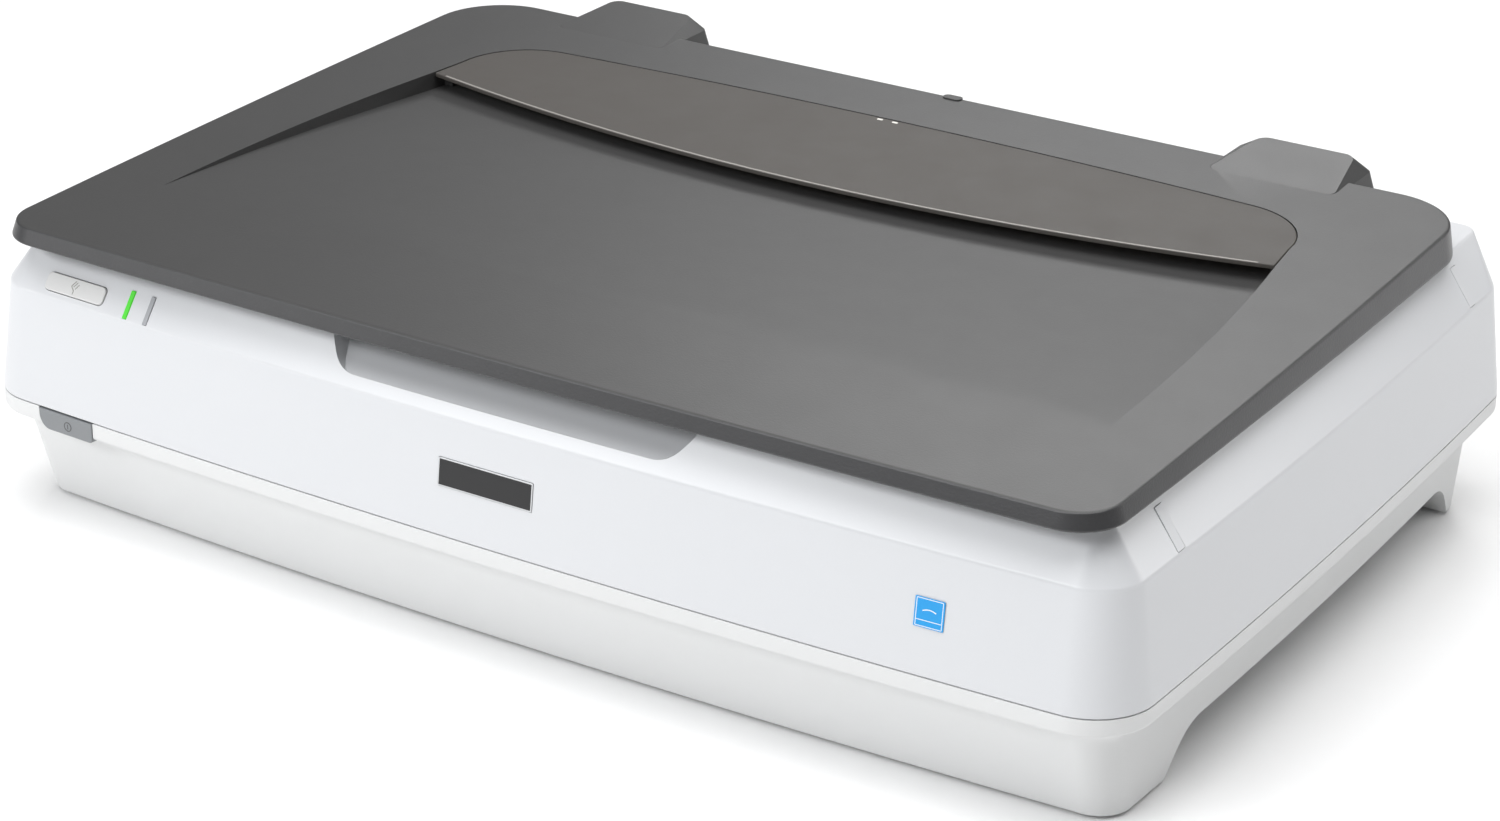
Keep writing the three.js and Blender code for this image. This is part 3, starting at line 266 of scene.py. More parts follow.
def box(x0, x1, y0, y1, z0, z1, name="tool"):
    corners = [(x, y, z) for z in (z0, z1) for y in (y0, y1) for x in (x0, x1)]
    faces = [(0, 2, 3, 1), (4, 5, 7, 6), (0, 1, 5, 4), (2, 6, 7, 3), (0, 4, 6, 2), (1, 3, 7, 5)]
    return object_from(name, corners, faces)


def prism(flat, place, low, high, name="tool"):
    """A flat outline extruded from low to high. place turns (u, v, w) into (x, y, z)."""
    points = [place(u, v, w) for w in (low, high) for u, v in flat]
    count = len(flat)
    faces = [tuple(reversed(range(count))), tuple(range(count, 2 * count))]
    for column in range(count):
        after = (column + 1) % count
        faces.append((column, after, after + count, column + count))
    return object_from(name, points, faces)


def prism_up(flat, low, high, name="tool"):
    return prism(flat, lambda u, v, w: (u, v, w), low, high, name)


def prism_along_x(flat, low, high, name="tool"):
    return prism(flat, lambda u, v, w: (w, u, v), low, high, name)


def prism_along_y(flat, low, high, name="tool"):
    return prism(flat, lambda u, v, w: (u, w, v), low, high, name)


def prism_in(matrix, flat, low, high, name="tool"):
    return prism(flat, lambda u, v, w: tuple(matrix @ Vector((u, v, w))), low, high, name)


def circle(radius, cx=0.0, cy=0.0, steps=48):
    turn = 2 * math.pi / steps
    return [(cx + radius * math.cos(k * turn), cy + radius * math.sin(k * turn)) for k in range(steps)]


def rounded_rectangle(width, height, radius, steps=6):
    points = []
    for corner, (sx, sy) in enumerate(((1, 1), (-1, 1), (-1, -1), (1, -1))):
        for step in range(steps + 1):
            angle = (corner + step / steps) * math.pi / 2
            points.append((
                sx * (width / 2 - radius) + radius * math.cos(angle),
                sy * (height / 2 - radius) + radius * math.sin(angle),
            ))
    return points


def boolean(piece, tool, operation):
    """Joins, cuts or intersects piece with tool, and removes tool."""
    modifier = piece.modifiers.new("boolean", "BOOLEAN")
    modifier.operation = operation
    modifier.solver = "MANIFOLD"
    modifier.object = tool
    graph = bpy.context.evaluated_depsgraph_get()
    made = bpy.data.meshes.new_from_object(piece.evaluated_get(graph))
    piece.modifiers.clear()
    old = piece.data
    piece.data = made
    bpy.data.meshes.remove(old)
    bpy.data.objects.remove(tool)
    return piece


def cut(piece, *tools):
    for tool in tools:
        boolean(piece, tool, "DIFFERENCE")
    return piece


def join(piece, *others):
    for other in others:
        boolean(piece, other, "UNION")
    return piece


def common(piece, other):
    return boolean(piece, other, "INTERSECT")


def merge(piece, *others):
    """Puts separate meshes into one object without a boolean."""
    work = bmesh.new()
    work.from_mesh(piece.data)
    for other in others:
        work.from_mesh(other.data)
        bpy.data.objects.remove(other)
    work.to_mesh(piece.data)
    work.free()
    return piece


def finish_mesh(piece, sharp=35, edge=0.4, segments=3):
    """Clean flats, smooth shading with sharp creases kept, and small rounded edges."""
    work = bmesh.new()
    work.from_mesh(piece.data)
    bmesh.ops.remove_doubles(work, verts=work.verts, dist=1e-6)
    bmesh.ops.dissolve_degenerate(work, edges=work.edges, dist=2e-6)
    bmesh.ops.dissolve_limit(
        work, angle_limit=math.radians(0.04), verts=work.verts, edges=work.edges,
    )
    for face in work.faces:
        face.smooth = True
    for line in work.edges:
        if len(line.link_faces) == 2:
            line.smooth = line.calc_face_angle(0) < math.radians(sharp)
    work.to_mesh(piece.data)
    work.free()
    if edge > 0:
        bevel = piece.modifiers.new("small edges", "BEVEL")
        bevel.width = edge * MM
        bevel.segments = segments
        bevel.limit_method = "ANGLE"
        bevel.angle_limit = math.radians(sharp)
        bevel.miter_outer = "MITER_ARC"
    normals = piece.modifiers.new("normals", "WEIGHTED_NORMAL")
    normals.keep_sharp = True
    normals.weight = 60
    return piece


# ------------------------------------------------------------------ materials

def shade(
    name, colour, rough, metal=0.0, grain=1500, bump=0.12, mottle=0.02, uneven=0.03, **sockets,
):
    """Procedural material: fine grain, and soft variation of colour and roughness."""
    material = bpy.data.materials.new(name)
    material.use_nodes = True
    tree = material.node_tree
    tree.nodes.clear()
    link = tree.links.new
    output = tree.nodes.new("ShaderNodeOutputMaterial")
    surface = tree.nodes.new("ShaderNodeBsdfPrincipled")
    link(surface.outputs["BSDF"], output.inputs["Surface"])
    surface.inputs["Metallic"].default_value = metal
    for socket, value in sockets.items():
        surface.inputs[socket.replace("_", " ")].default_value = value
    place = tree.nodes.new("ShaderNodeTexCoord").outputs["Object"]

    def texture(scale, detail):
        node = tree.nodes.new("ShaderNodeTexNoise")
        node.inputs["Scale"].default_value = scale
        node.inputs["Detail"].default_value = detail
        link(place, node.inputs["Vector"])
        return node.outputs["Fac"]

    def mixed(factor, first, second):
        node = tree.nodes.new("ShaderNodeMix")
        node.data_type = "RGBA"
        link(factor, node.inputs["Factor"])
        for socket, value in ((node.inputs[6], first), (node.inputs[7], second)):
            if isinstance(value, bpy.types.NodeSocket):
                link(value, socket)
            else:
                socket.default_value = (*value, 1)
        return node.outputs[2]

    darker = [channel * (1 - mottle) for channel in colour]
    lighter = [min(channel * (1 + mottle), 1) for channel in colour]
    tint = mixed(texture(14, 3), darker, lighter)
    speck = [min(channel * (1 + 2.5 * mottle), 1) for channel in colour]
    tint = mixed(ranged(tree, texture(grain * 0.6, 1), 0.55, 0.75, 0, 0.5), tint, speck)
    link(tint, surface.inputs["Base Color"])
    patches = ranged(tree, texture(45, 4), 0.3, 0.7, rough - uneven, rough + uneven)
    link(patches, surface.inputs["Roughness"])
    relief = tree.nodes.new("ShaderNodeBump")
    relief.inputs["Strength"].default_value = bump
    relief.inputs["Distance"].default_value = 0.0002
    link(texture(grain, 2), relief.inputs["Height"])
    link(relief.outputs["Normal"], surface.inputs["Normal"])
    return material


def ranged(tree, source, low, high, to_low, to_high):
    node = tree.nodes.new("ShaderNodeMapRange")
    link = tree.links.new
    link(source, node.inputs["Value"])
    for name, value in (("From Min", low), ("From Max", high), ("To Min", to_low), ("To Max", to_high)):
        node.inputs[name].default_value = value
    return node.outputs["Result"]


FINISH = dict(
    white_plastic=shade(
        "white_plastic", (0.68, 0.69, 0.71), 0.28, bump=0.06, mottle=0.006, uneven=0.004,
    ),
    base_plastic=shade("base_plastic", (0.735, 0.74, 0.74), 0.48, mottle=0.006, bump=0.12, uneven=0.01),
    cover_plastic=shade(
        "cover_plastic", (0.055, 0.055, 0.055), 0.4, grain=1100, bump=0.3, mottle=0.015, uneven=0.012,
    ),
    # The cover's rim: the same plastic as the top with a coarser, glossier grain, in a darker colour that
    # is painted shade on its upright faces
    cover_rim_grain_and_shade=shade(
        "cover_rim_grain_and_shade", (0.044, 0.044, 0.046), 0.34, grain=900, bump=0.5, mottle=0.08, uneven=0.02,
    ),
    smoke_plastic=shade(
        "smoke_plastic", (0.118, 0.107, 0.097), 0.54, bump=0.02, mottle=0.02,
        Transmission_Weight=0.5, IOR=1.49,
    ),
    scan_glass=shade(
        "scan_glass", (0.93, 0.97, 0.96), 0.05, bump=0.004, mottle=0.005,
        Transmission_Weight=1.0, IOR=1.52,
    ),
    white_foam=shade(
        "white_foam", (0.84, 0.84, 0.83), 0.82, grain=600, bump=0.45, mottle=0.02, Sheen_Weight=0.15,
    ),
    lamp_diffuser=shade("lamp_diffuser", (0.88, 0.88, 0.85), 0.4, bump=0.05),
    gloss_black=shade("gloss_black", (0.010, 0.010, 0.011), 0.32, bump=0.02, mottle=0.05),
    plate_edge=shade("plate_edge", (0.62, 0.63, 0.64), 0.32, metal=0.7, bump=0.03),
    label_blue=shade("label_blue", (0.012, 0.33, 0.76), 0.5, bump=0.02, mottle=0.02),
    lamp_green=shade(
        "lamp_green", (0.04, 0.46, 0.01), 0.4, bump=0.02,
        Emission_Color=(0.06, 0.65, 0.01, 1), Emission_Strength=0.4,
    ),
    lamp_grey=shade("lamp_grey", (0.36, 0.37, 0.39), 0.3, bump=0.02),
    circuit_board=shade("circuit_board", (0.02, 0.15, 0.06), 0.4, grain=500, bump=0.2, mottle=0.1),
    rubber=shade("rubber", (0.028, 0.028, 0.028), 0.85, grain=900, bump=0.4, mottle=0.08),
    zinc_steel=shade(
        "zinc_steel", (0.62, 0.63, 0.65), 0.42, metal=1.0, grain=300, bump=0.08, mottle=0.06,
    ),
    black_plastic=shade("black_plastic", (0.028, 0.028, 0.03), 0.5, grain=1200, bump=0.25, mottle=0.08),
    bright_steel=shade(
        "bright_steel", (0.7, 0.71, 0.73), 0.25, metal=1.0, grain=900, bump=0.05, mottle=0.04,
    ),
    button_grey=shade("button_grey", (0.68, 0.68, 0.675), 0.42, mottle=0.01, bump=0.12),
    power_grey=shade("power_grey", (0.23, 0.24, 0.25), 0.38, mottle=0.02, bump=0.12),
    glyph_grey=shade("glyph_grey", (0.30, 0.30, 0.27), 0.5, mottle=0.02),
    sign_grey=shade("sign_grey", (0.09, 0.09, 0.095), 0.5, mottle=0.02),
    label_white=shade("label_white", (0.80, 0.86, 0.90), 0.4, bump=0.02),
    acetal=shade("acetal", (0.80, 0.79, 0.74), 0.35, mottle=0.015, bump=0.06),
    mirror=shade("mirror", (0.9, 0.92, 0.93), 0.04, metal=1.0, bump=0.003, mottle=0.01),
    # Glossy, and far lighter than the smoke pane: a painted highlight for the window's front lip
    lip_gloss_and_painted_highlight=shade("lip_gloss_and_painted_highlight", (0.36, 0.34, 0.32), 0.1, bump=0.01, Coat_Weight=0.6),
)


def paint(piece, *names):
    piece.data.materials.clear()
    for name in names:
        piece.data.materials.append(FINISH[name])
    return piece


def place_piece(piece, body, replaces=()):
    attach(piece, body)
    if replaces:
        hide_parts(*replaces)
    return piece


# ------------------------------------------------------------------ camera, light and floor

CAMERA_PLACE = Vector((0.89713, -1.44095, 0.81242))
CAMERA_AIM = Vector((0.0361, -0.0582, 0.0801))
CAMERA_ROLL = math.radians(0.857)
CAMERA_LENS = 86.9

WHITE = (1, 1, 1)
# Name, place and aim in metres, width, height, watts and colour
LIGHTS = (
    ("top", (0.2, -0.3, 2.8), (0, 0, 0), 3.6, 3.0, 104, WHITE),
    ("key", (-1.0, -2.45, 1.75), (0.0, -0.2, 0.13), 2.3, 0.6, 40, (0.975, 0.988, 1)),
    ("fill", (-2.1, -2.3, 0.65), (-0.1, -0.2, 0.13), 1.4, 0.7, 8, WHITE),
    ("side", (2.0, 2.3, 1.06), (0.3, 0, 0.13), 1.4, 0.5, 12, WHITE),
    ("rear", (-0.89, 2.43, 2.04), (0.1, 0, 0.1), 1.4, 1.0, 22, WHITE),
)
WORLD_STRENGTH = 0.13
FLOOR_HALF = 9000
FLOOR_DROP = -0.0002              # metres under the feet


def add_camera():
    data = bpy.data.cameras.new("camera")
    data.sensor_width = 36.0
    data.lens = CAMERA_LENS
    camera = bpy.data.objects.new("camera", data)
    bpy.context.scene.collection.objects.link(camera)
    look = (CAMERA_AIM - CAMERA_PLACE).to_track_quat("-Z", "Y").to_matrix().to_4x4()
    roll = Matrix.Rotation(CAMERA_ROLL, 4, "Z")
    camera.matrix_world = Matrix.Translation(CAMERA_PLACE) @ look @ roll
    bpy.context.scene.camera = camera


def add_light(name, place, aim, width, height, watts, colour):
    data = bpy.data.lights.new(name, "AREA")
    data.shape = "RECTANGLE"
    data.size, data.size_y = width, height
    data.energy = watts
    data.color = colour
    light = bpy.data.objects.new(name, data)
    light.location = place
    light.rotation_euler = (Vector(aim) - Vector(place)).to_track_quat("-Z", "Y").to_euler()
    bpy.context.scene.collection.objects.link(light)


def add_studio():
    world = bpy.data.worlds.new("studio")
    world.use_nodes = True
    background = world.node_tree.nodes["Background"]
    background.inputs["Color"].default_value = (*WHITE, 1)
    background.inputs["Strength"].default_value = WORLD_STRENGTH
    bpy.context.scene.world = world
    bpy.context.scene.view_settings.view_transform = "Standard"
    for light in LIGHTS:
        add_light(*light)
    corners = [(sx * FLOOR_HALF, sy * FLOOR_HALF, 0) for sx, sy in ((-1, -1), (1, -1), (1, 1), (-1, 1))]
    floor = object_from("floor", corners, [(0, 1, 2, 3)])
    floor.location.z = FLOOR_DROP
    floor.data.materials.append(shade("floor", (0.9, 0.9, 0.9), 0.6, grain=60, bump=0.02, mottle=0.004))


# ------------------------------------------------------------------ places on the casing

def front_y(x):
    """Where the bowed front stands at the seam."""
    return CASING["front"] - FRONT_BOW * (1 - (x / CASING["half"]) ** 2)


def front_turn(x):
    """How far the bowed front is turned about Z."""
    return math.atan(2 * FRONT_BOW * x / CASING["half"] ** 2)


def side_x(y):
    """Where the bowed side stands at the seam."""
    middle = (CASING["front"] + CASING["rear"]) / 2
    depth = (CASING["rear"] - CASING["front"]) / 2
    return CASING["half"] + SIDE_BOW * (1 - ((y - middle) / depth) ** 2)


BEVEL_PITCH = math.atan2(DECK_Z - SHOULDER_Z, BEVEL_RUN)
WALL_PITCH = math.atan2(SHOULDER_Z - SEAM_Z, LEAN)


def front_bevel(x, up):
    """Frame on the front bevel: X across, Y up the slope, Z out of it."""
    return (
        Matrix.Translation((x, front_y(x) + LEAN, SHOULDER_Z))
        @ Matrix.Rotation(front_turn(x), 4, "Z")
        @ Matrix.Rotation(BEVEL_PITCH, 4, "X")
        @ Matrix.Translation((0, up, 0))
    )


def front_wall(x, z):
    """Frame on the upright front wall: X across, Y up the wall, Z out of it."""
    lean = LEAN * (z - SEAM_Z) / (SHOULDER_Z - SEAM_Z)
    return (
        Matrix.Translation((x, front_y(x) + lean, z))
        @ Matrix.Rotation(front_turn(x), 4, "Z")
        @ Matrix.Rotation(WALL_PITCH, 4, "X")
    )


def side_bevel(side, y, up):
    """Frame on a side bevel: X along it, Y up the slope, Z out of it."""
    return (
        Matrix.Translation((side * (side_x(y) - LEAN), y, SHOULDER_Z))
        @ Matrix.Rotation(side * math.pi / 2, 4, "Z")
        @ Matrix.Rotation(BEVEL_PITCH, 4, "X")
        @ Matrix.Translation((0, up, 0))
    )


def grown(size, margin):
    """Width and height of a small part with a margin all round."""
    return size["width"] + 2 * margin, size["height"] + 2 * margin


def power_button_outline(margin):
    """The tab seen from the front, hanging from the seam, grown by margin."""
    corners = [
        (-19.6 - margin, 62.9 + margin), (-19.6 - margin, 57 - margin / 2),
        (-15.6 - margin / 2, 52.4 - margin), (16.4 + margin, 52.4 - margin),
        (16.4 + margin, 62.9 + margin),
    ]
    return fillet(corners, [3.0, 3.0, 2.2])


def power_button_frame():
    """Frame at the foot of the front, under the seam: X across, Y into the casing, Z up."""
    place = Matrix.Translation((POWER_BUTTON_X, front_y(POWER_BUTTON_X), 0))
    return place @ Matrix.Rotation(front_turn(POWER_BUTTON_X), 4, "Z")


def power_button_solid(margin, out, back, name="tool"):
    turn = power_button_frame()
    flat = power_button_outline(margin)
    return prism(flat, lambda u, v, w: tuple(turn @ Vector((u, w, v))), -out, back, name)


# ------------------------------------------------------------------ casings

def skirt_inset(z, extra=0.0):
    """How far the skirts stand in at a height: side, front and rear."""
    t = (STEP_Z - z) / (STEP_Z - SKIRT_Z)
    return tuple(STEP_IN + (floor - STEP_IN) * t + extra for floor in FLOOR_INSET)


def build_lower_casing():
    top = lower_high.z
    profile = fillet(
        [
            (*skirt_inset(SKIRT_Z, 2.0), SKIRT_Z), (*skirt_inset(SKIRT_Z), SKIRT_Z),
            (*skirt_inset(SKIRT_BEND_Z), SKIRT_BEND_Z), (0, 0, 0, FLANGE_Z),
            (0, 0, 0, top), (1.5, 1.5, 1.5, top),
        ],
        [1.6, 9.0, 1.8, 0.5],
    )
    shell = loft("lower_casing_shell", casing_rings(profile))
    hollow = loft("tool", casing_rings([
        (*skirt_inset(TRAY_TOP_Z, WALL), TRAY_TOP_Z), (*[STEP_IN + WALL] * 3, STEP_Z + 1),
        (12.5, 12.5, 12.5, 52), (WALL + 0.5, WALL + 0.5, WALL + 0.5, 58), (WALL, WALL, WALL, top + 1),
    ]))
    arch = fillet(
        [
            (ARCH_FOOT_Y[0], -1), (ARCH_TOP_Y[0], TRAY_BOTTOM_Z),
            (ARCH_TOP_Y[1], TRAY_BOTTOM_Z), (ARCH_FOOT_Y[1], -1),
        ],
        [14.0, 14.0], 10,
    )
    cut(shell, hollow, prism_along_x(arch, -400, 400))
    for number in range(1, 5):
        low, high = node_box(f"rubber_foot_{number}")
        centre = (low + high) / 2
        radius = (high.x - low.x) / 2 + GAP
        cut(shell, prism_up(circle(radius, centre.x, centre.y), -1, high.z + GAP))
    for number in range(1, 5):
        low, high = node_box(f"case_screw_{number}")
        centre = (low + high) / 2
        hole = circle(SCREW_HOLE_RADIUS, centre.x, centre.y, 24)
        cut(shell, prism_up(hole, TRAY_BOTTOM_Z - 1, TRAY_TOP_Z + 1))
    for x, z, width, height in PORTS:
        cut(shell, box(
            x - width / 2 - GAP, x + width / 2 + GAP, 180, 240,
            z - height / 2 - GAP, z + height / 2 + GAP,
        ))
    lock_hole = circle(LOCK["radius"] + GAP, LOCK["x"], LOCK["y"])
    cut(shell, prism_up(lock_hole, TRAY_BOTTOM_Z - 1, TRAY_TOP_Z + 1), power_button_solid(0.4, 3, 22))
    finish_mesh(shell, edge=0.4)
    paint(shell, "base_plastic")
    place_piece(shell, "base", ["lower_casing"])


def finger_scoop(margin):
    """The hollow in the front bevel for lifting the cover, as a solid grown by margin."""
    front = fillet(
        [
            (-106 - margin, 152), (-104.5 - margin, 141), (-93.5 - margin, 127.2 - margin),
            (91.5 + margin, 127.2 - margin), (102.5 + margin, 141), (104 + margin, 152),
        ], [5.0, 9.0, 9.0, 5.0], 8,
    )
    side = fillet(
        [
            (-240, 117.2 - margin), (-200 + margin / 3, 134.5 - margin),
            (-187 + margin, 147 - margin / 2), (-187 + margin, 152), (-240, 152),
        ], [10.0, 5.0, 0.01], 8,
    )
    return common(prism_along_x(side, -125, 125), prism_along_y(front, -245, -175))


def hinge_notch(side, margin):
    """The open-backed notch in the deck that a hinge housing hangs into."""
    x0, x1 = sorted((side * (HINGE_X - NOTCH_INNER), side * (HINGE_X + NOTCH_OUTER)))
    front = HINGE_Y - NOTCH_FRONT - margin
    return box(x0 - margin, x1 + margin, front, 240, SOCKET_FLOOR_Z - margin, 160)


def hinge_block(side, grow, low, high):
    """A block round a hinge post, grown sideways."""
    x = side * HINGE_X
    half_width, half_depth = POST_WIDTH / 2 + grow, POST_DEPTH / 2 + grow
    return box(x - half_width, x + half_width, HINGE_Y - half_depth, HINGE_Y + half_depth, low, high)


def bevel_row(z, extra=0.0):
    """Insets of the bevels at a height, and the height."""
    t = (z - SHOULDER_Z) / (DECK_Z - SHOULDER_Z)
    front = LEAN + BEVEL_RUN * t + extra
    return front, front, LEAN + REAR_BEVEL_RUN * t + extra, z


def round_glass(margin, low, high):
    """A block as large as the glass, grown by margin."""
    return box(
        glass_low.x - margin, glass_high.x + margin, glass_low.y - margin, glass_high.y + margin, low, high,
    )


def build_upper_casing():
    bottom = upper_low.z
    profile = fillet(
        [
            (1.5, 1.5, 1.5, bottom), (0, 0, 0, bottom), (LEAN, LEAN, LEAN, SHOULDER_Z),
            bevel_row(DECK_Z), (*(value + 8 for value in bevel_row(DECK_Z)[:3]), DECK_Z),
        ],
        [0.5, 1.4, 1.6],
    )
    shell = loft("upper_casing_shell", casing_rings(profile))
    hollow = loft("tool", casing_rings([
        (WALL, WALL, WALL, bottom - 1), (LEAN + WALL, LEAN + WALL, LEAN + WALL, SHOULDER_Z - 1),
        bevel_row(DECK_Z - WALL, 3.7),
    ]))
    cut(hollow, finger_scoop(WALL), hinge_notch(1, WALL), hinge_notch(-1, WALL))
    cut(shell, hollow, finger_scoop(0), hinge_notch(1, 0), hinge_notch(-1, 0))
    shelf_low = glass_low.z - GAP
    join(shell, round_glass(8.0, shelf_low - 2, DECK_Z - 1))
    for side in (-1, 1):
        join(shell, hinge_block(side, WALL, post_low.z - WALL - 1, SOCKET_FLOOR_Z - 1))
        cut(shell, hinge_block(side, 0.4, post_low.z - 1, SOCKET_FLOOR_Z + 1))
    cut(
        shell,
        round_glass(GAP, shelf_low, 160),
        round_glass(-GLASS_LAP, 120, 160),
        prism_in(
            front_bevel(SCAN_BUTTON["x"], SCAN_BUTTON["up"]),
            rounded_rectangle(*grown(SCAN_BUTTON, GAP), 2.9), -12, 4,
        ),
    )
    for x in (READY_LAMP_X, ERROR_LAMP_X):
        slit = rounded_rectangle(*grown(LAMP, 0.2), 0.5)
        cut(shell, prism_in(front_bevel(x, LAMP["up"]), slit, -12, 4))
    pocket = rounded_rectangle(*grown(NAMEPLATE, 0.25), 0.6)
    cut(shell, prism_in(front_wall(NAMEPLATE["x"], NAMEPLATE["z"]), pocket, -1.2, 4))
    for _, side, y in PLUG_PLACES:
        cut(shell, prism_in(
            side_bevel(side, y, PLUG["up"]),
            rounded_rectangle(*grown(PLUG, 0.22), 0.8), -PLUG["thick"] - 0.3, 4,
        ))
    finish_mesh(shell, edge=0.35)
    paint(shell, "white_plastic")
    place_piece(shell, "base", ["upper_casing"])


# ------------------------------------------------------------------ small parts in the casing

def stroke(matrix, x0, y0, x1, y1, width, low, high):
    """A thin raised line from one point to another, in a frame."""
    along = Vector((x1 - x0, y1 - y0))
    across = Vector((-along.y, along.x)).normalized() * width / 2
    flat = [
        (x0 - across.x, y0 - across.y), (x1 - across.x, y1 - across.y),
        (x1 + across.x, y1 + across.y), (x0 + across.x, y0 + across.y),
    ]
    return prism_in(matrix, flat, low, high)


def build_scan_button():
    on_bevel = front_bevel(SCAN_BUTTON["x"], SCAN_BUTTON["up"])
    cap = prism_in(
        on_bevel, rounded_rectangle(SCAN_BUTTON["width"], SCAN_BUTTON["height"], SCAN_BUTTON["radius"]),
        -3.6, 0.6, "scan_button_cap",
    )
    finish_mesh(cap, edge=0.5)
    paint(cap, "button_grey")
    place_piece(cap, "scan_button", ["scan_button"])

    # A generic start mark: half a diamond on a stem, with two slanting strokes in it.
    lines = [
        (-0.3, 3.4, -2.5, 0.4), (-2.5, 0.4, -0.3, -1.7), (-0.3, -1.7, -0.3, -3.5),
        (-1.0, 0.3, 0.9, 2.9), (0.3, -0.6, 2.2, 2.0),
    ]
    glyph = merge(*(stroke(on_bevel, *line, 0.4, 0.5, 0.72) for line in lines))
    glyph.name = "scan_button_glyph"
    paint(glyph, "glyph_grey")
    place_piece(glyph, "scan_button")


def build_power_button():
    key = power_button_solid(0, 0.5, 9, "power_button_cap")
    finish_mesh(key, edge=0.5)
    paint(key, "power_grey")
    place_piece(key, "power_button", ["power_button"])

    # A ring with an upright bar in it
    on_key = (
        power_button_frame()
        @ Matrix.Translation((0, 0, POWER_SIGN["z"]))
        @ Matrix.Rotation(math.pi / 2, 4, "X")
    )
    outer, inner = circle(POWER_SIGN["outer"]), circle(POWER_SIGN["inner"])
    ring = cut(prism_in(on_key, outer, 0.4, 0.62), prism_in(on_key, inner, 0, 1))
    bar = POWER_SIGN["bar"] / 2
    sign = merge(ring, stroke(on_key, 0, -bar, 0, bar, POWER_SIGN["width"], 0.4, 0.62))
    sign.name = "power_button_glyph"
    paint(sign, "sign_grey")
    place_piece(sign, "power_button")


def build_nameplate():
    on_wall = front_wall(NAMEPLATE["x"], NAMEPLATE["z"])
    rim = prism_in(
        on_wall, rounded_rectangle(NAMEPLATE["width"], NAMEPLATE["height"], 0.5), -0.85, 0.35,
        "nameplate_rim",
    )
    finish_mesh(rim, edge=0.15, segments=2)
    paint(rim, "plate_edge")
    place_piece(rim, "base", ["front_nameplate"])
    face = prism_in(
        on_wall, rounded_rectangle(NAMEPLATE["width"] - 1.3, NAMEPLATE["height"] - 1.3, 0.3), 0.2, 0.48,
        "nameplate_face",
    )
    finish_mesh(face, edge=0.1, segments=2)
    paint(face, "gloss_black")
    place_piece(face, "base")


def build_label():
    on_label = front_wall(LABEL["x"], LABEL["z"])
    label = prism_in(
        on_label, rounded_rectangle(LABEL["width"], LABEL["height"], 0.5), 0.12, 0.4,
        "blank_label_film",
    )
    finish_mesh(label, edge=0.08, segments=2)
    paint(label, "label_blue")
    place_piece(label, "base", ["blank_front_label"])
    # A plain pattern of pale lines: a border, a rule and a shallow arc
    half, level = LABEL["width"] / 2 - 0.9, -3.6
    corners = [(-half, -half), (half, -half), (half, half), (-half, half)]
    lines = [(*a, *b, 0.35) for a, b in zip(corners, corners[1:] + corners[:1])]
    lines.append((-half, level, half, level, 0.35))
    arc = [(6.6 * (step / 8 - 0.5), 1.6 - 3.4 * (step / 8 - 0.5) ** 2) for step in range(9)]
    lines += [(*a, *b, 0.5) for a, b in zip(arc, arc[1:])]
    marks = merge(*(stroke(on_label, *line, 0.35, 0.44) for line in lines))
    marks.name = "blank_label_lines"
    paint(marks, "label_white")
    place_piece(marks, "base")


def build_lamps():
    for name, x, slot in (
        ("ready_lamp", READY_LAMP_X, "lamp_green"), ("error_lamp", ERROR_LAMP_X, "lamp_grey"),
    ):
        lens = prism_in(
            front_bevel(x, LAMP["up"]), rounded_rectangle(LAMP["width"], LAMP["height"], 0.4),
            -3.4, 0.15, name + "_lens",
        )
        finish_mesh(lens, edge=0.2, segments=2)
        paint(lens, slot)
        place_piece(lens, "base", [name])


def build_trim_plugs():
    for name, side, y in PLUG_PLACES:
        plug = prism_in(
            side_bevel(side, y, PLUG["up"]), rounded_rectangle(PLUG["width"], PLUG["height"], 0.6),
            -PLUG["thick"], 0.0, "trim_plug_" + name + "_cap",
        )
        finish_mesh(plug, edge=0.15, segments=2)
        paint(plug, "white_plastic")
        place_piece(plug, "base", ["trim_plug_" + name])


# ------------------------------------------------------------------ cover

def cover_top(y):
    """Height of the cover's sloping top face."""
    return COVER_FRONT_Z + COVER_RISE * (y - COVER["front"])


def roof_z(y):
    """Height of the hinge housings' roof."""
    return cover_top(ROOF_START_Y) + ROOF_RISE * (y - ROOF_START_Y)


def dish_rear(x):
    """Where the dish's bowed rear wall stands."""
    return DISH_REAR_Y + DISH_REAR_BOW * (1 - (x / DISH_REAR_HALF) ** 2)


def dish_outline(margin):
    """Plan of the dish, grown by margin: side walls that draw in, round corners and a bowed rear."""
    corner = DISH_CORNER
    half = DISH_REAR_HALF
    wall = []
    for step in range(13):
        t = step / 12
        y = DISH_CREASE_Y + (DISH_SIDE_END_Y - DISH_CREASE_Y) * t
        x = DISH_FRONT_HALF - DISH_SIDE_DRAW * t ** 2.2
        wall.append((x + margin, y))
    wall[0] = (wall[0][0], DISH_CREASE_Y - margin)
    arc = []
    for step in range(13):
        angle = math.radians(90 * step / 12)
        arc.append((
            half - corner + (corner + margin) * math.cos(angle),
            dish_rear(half - corner) - corner + (corner + margin) * math.sin(angle),
        ))
    rear = []
    for step in range(1, 24):
        x = (half - corner) * (1 - step / 12)
        rear.append((x, dish_rear(x) + margin))
    right = wall + arc
    left = [(-x, y) for x, y in reversed(right)]
    return right + rear + left


def dish(margin):
    """The dish as a solid: a slope from the crease that runs out into a flat floor."""
    crease = (DISH_CREASE_Y - margin, cover_top(DISH_CREASE_Y) - margin)
    floor = fillet([crease, (DISH_FLOOR_Y, DISH_FLOOR_Z - margin), (160, DISH_FLOOR_Z - margin)], [40.0], 8)
    side = floor + [(160, 190), (DISH_CREASE_Y - margin, 190)]
    return common(prism_up(dish_outline(margin), 140, 189), prism_along_x(side, -300, 300))


def window_front(x):
    """Where the window's hollow front edge stands."""
    return WINDOW_FRONT_Y + WINDOW_FRONT_BOW * (x / WINDOW_HALF) ** 2


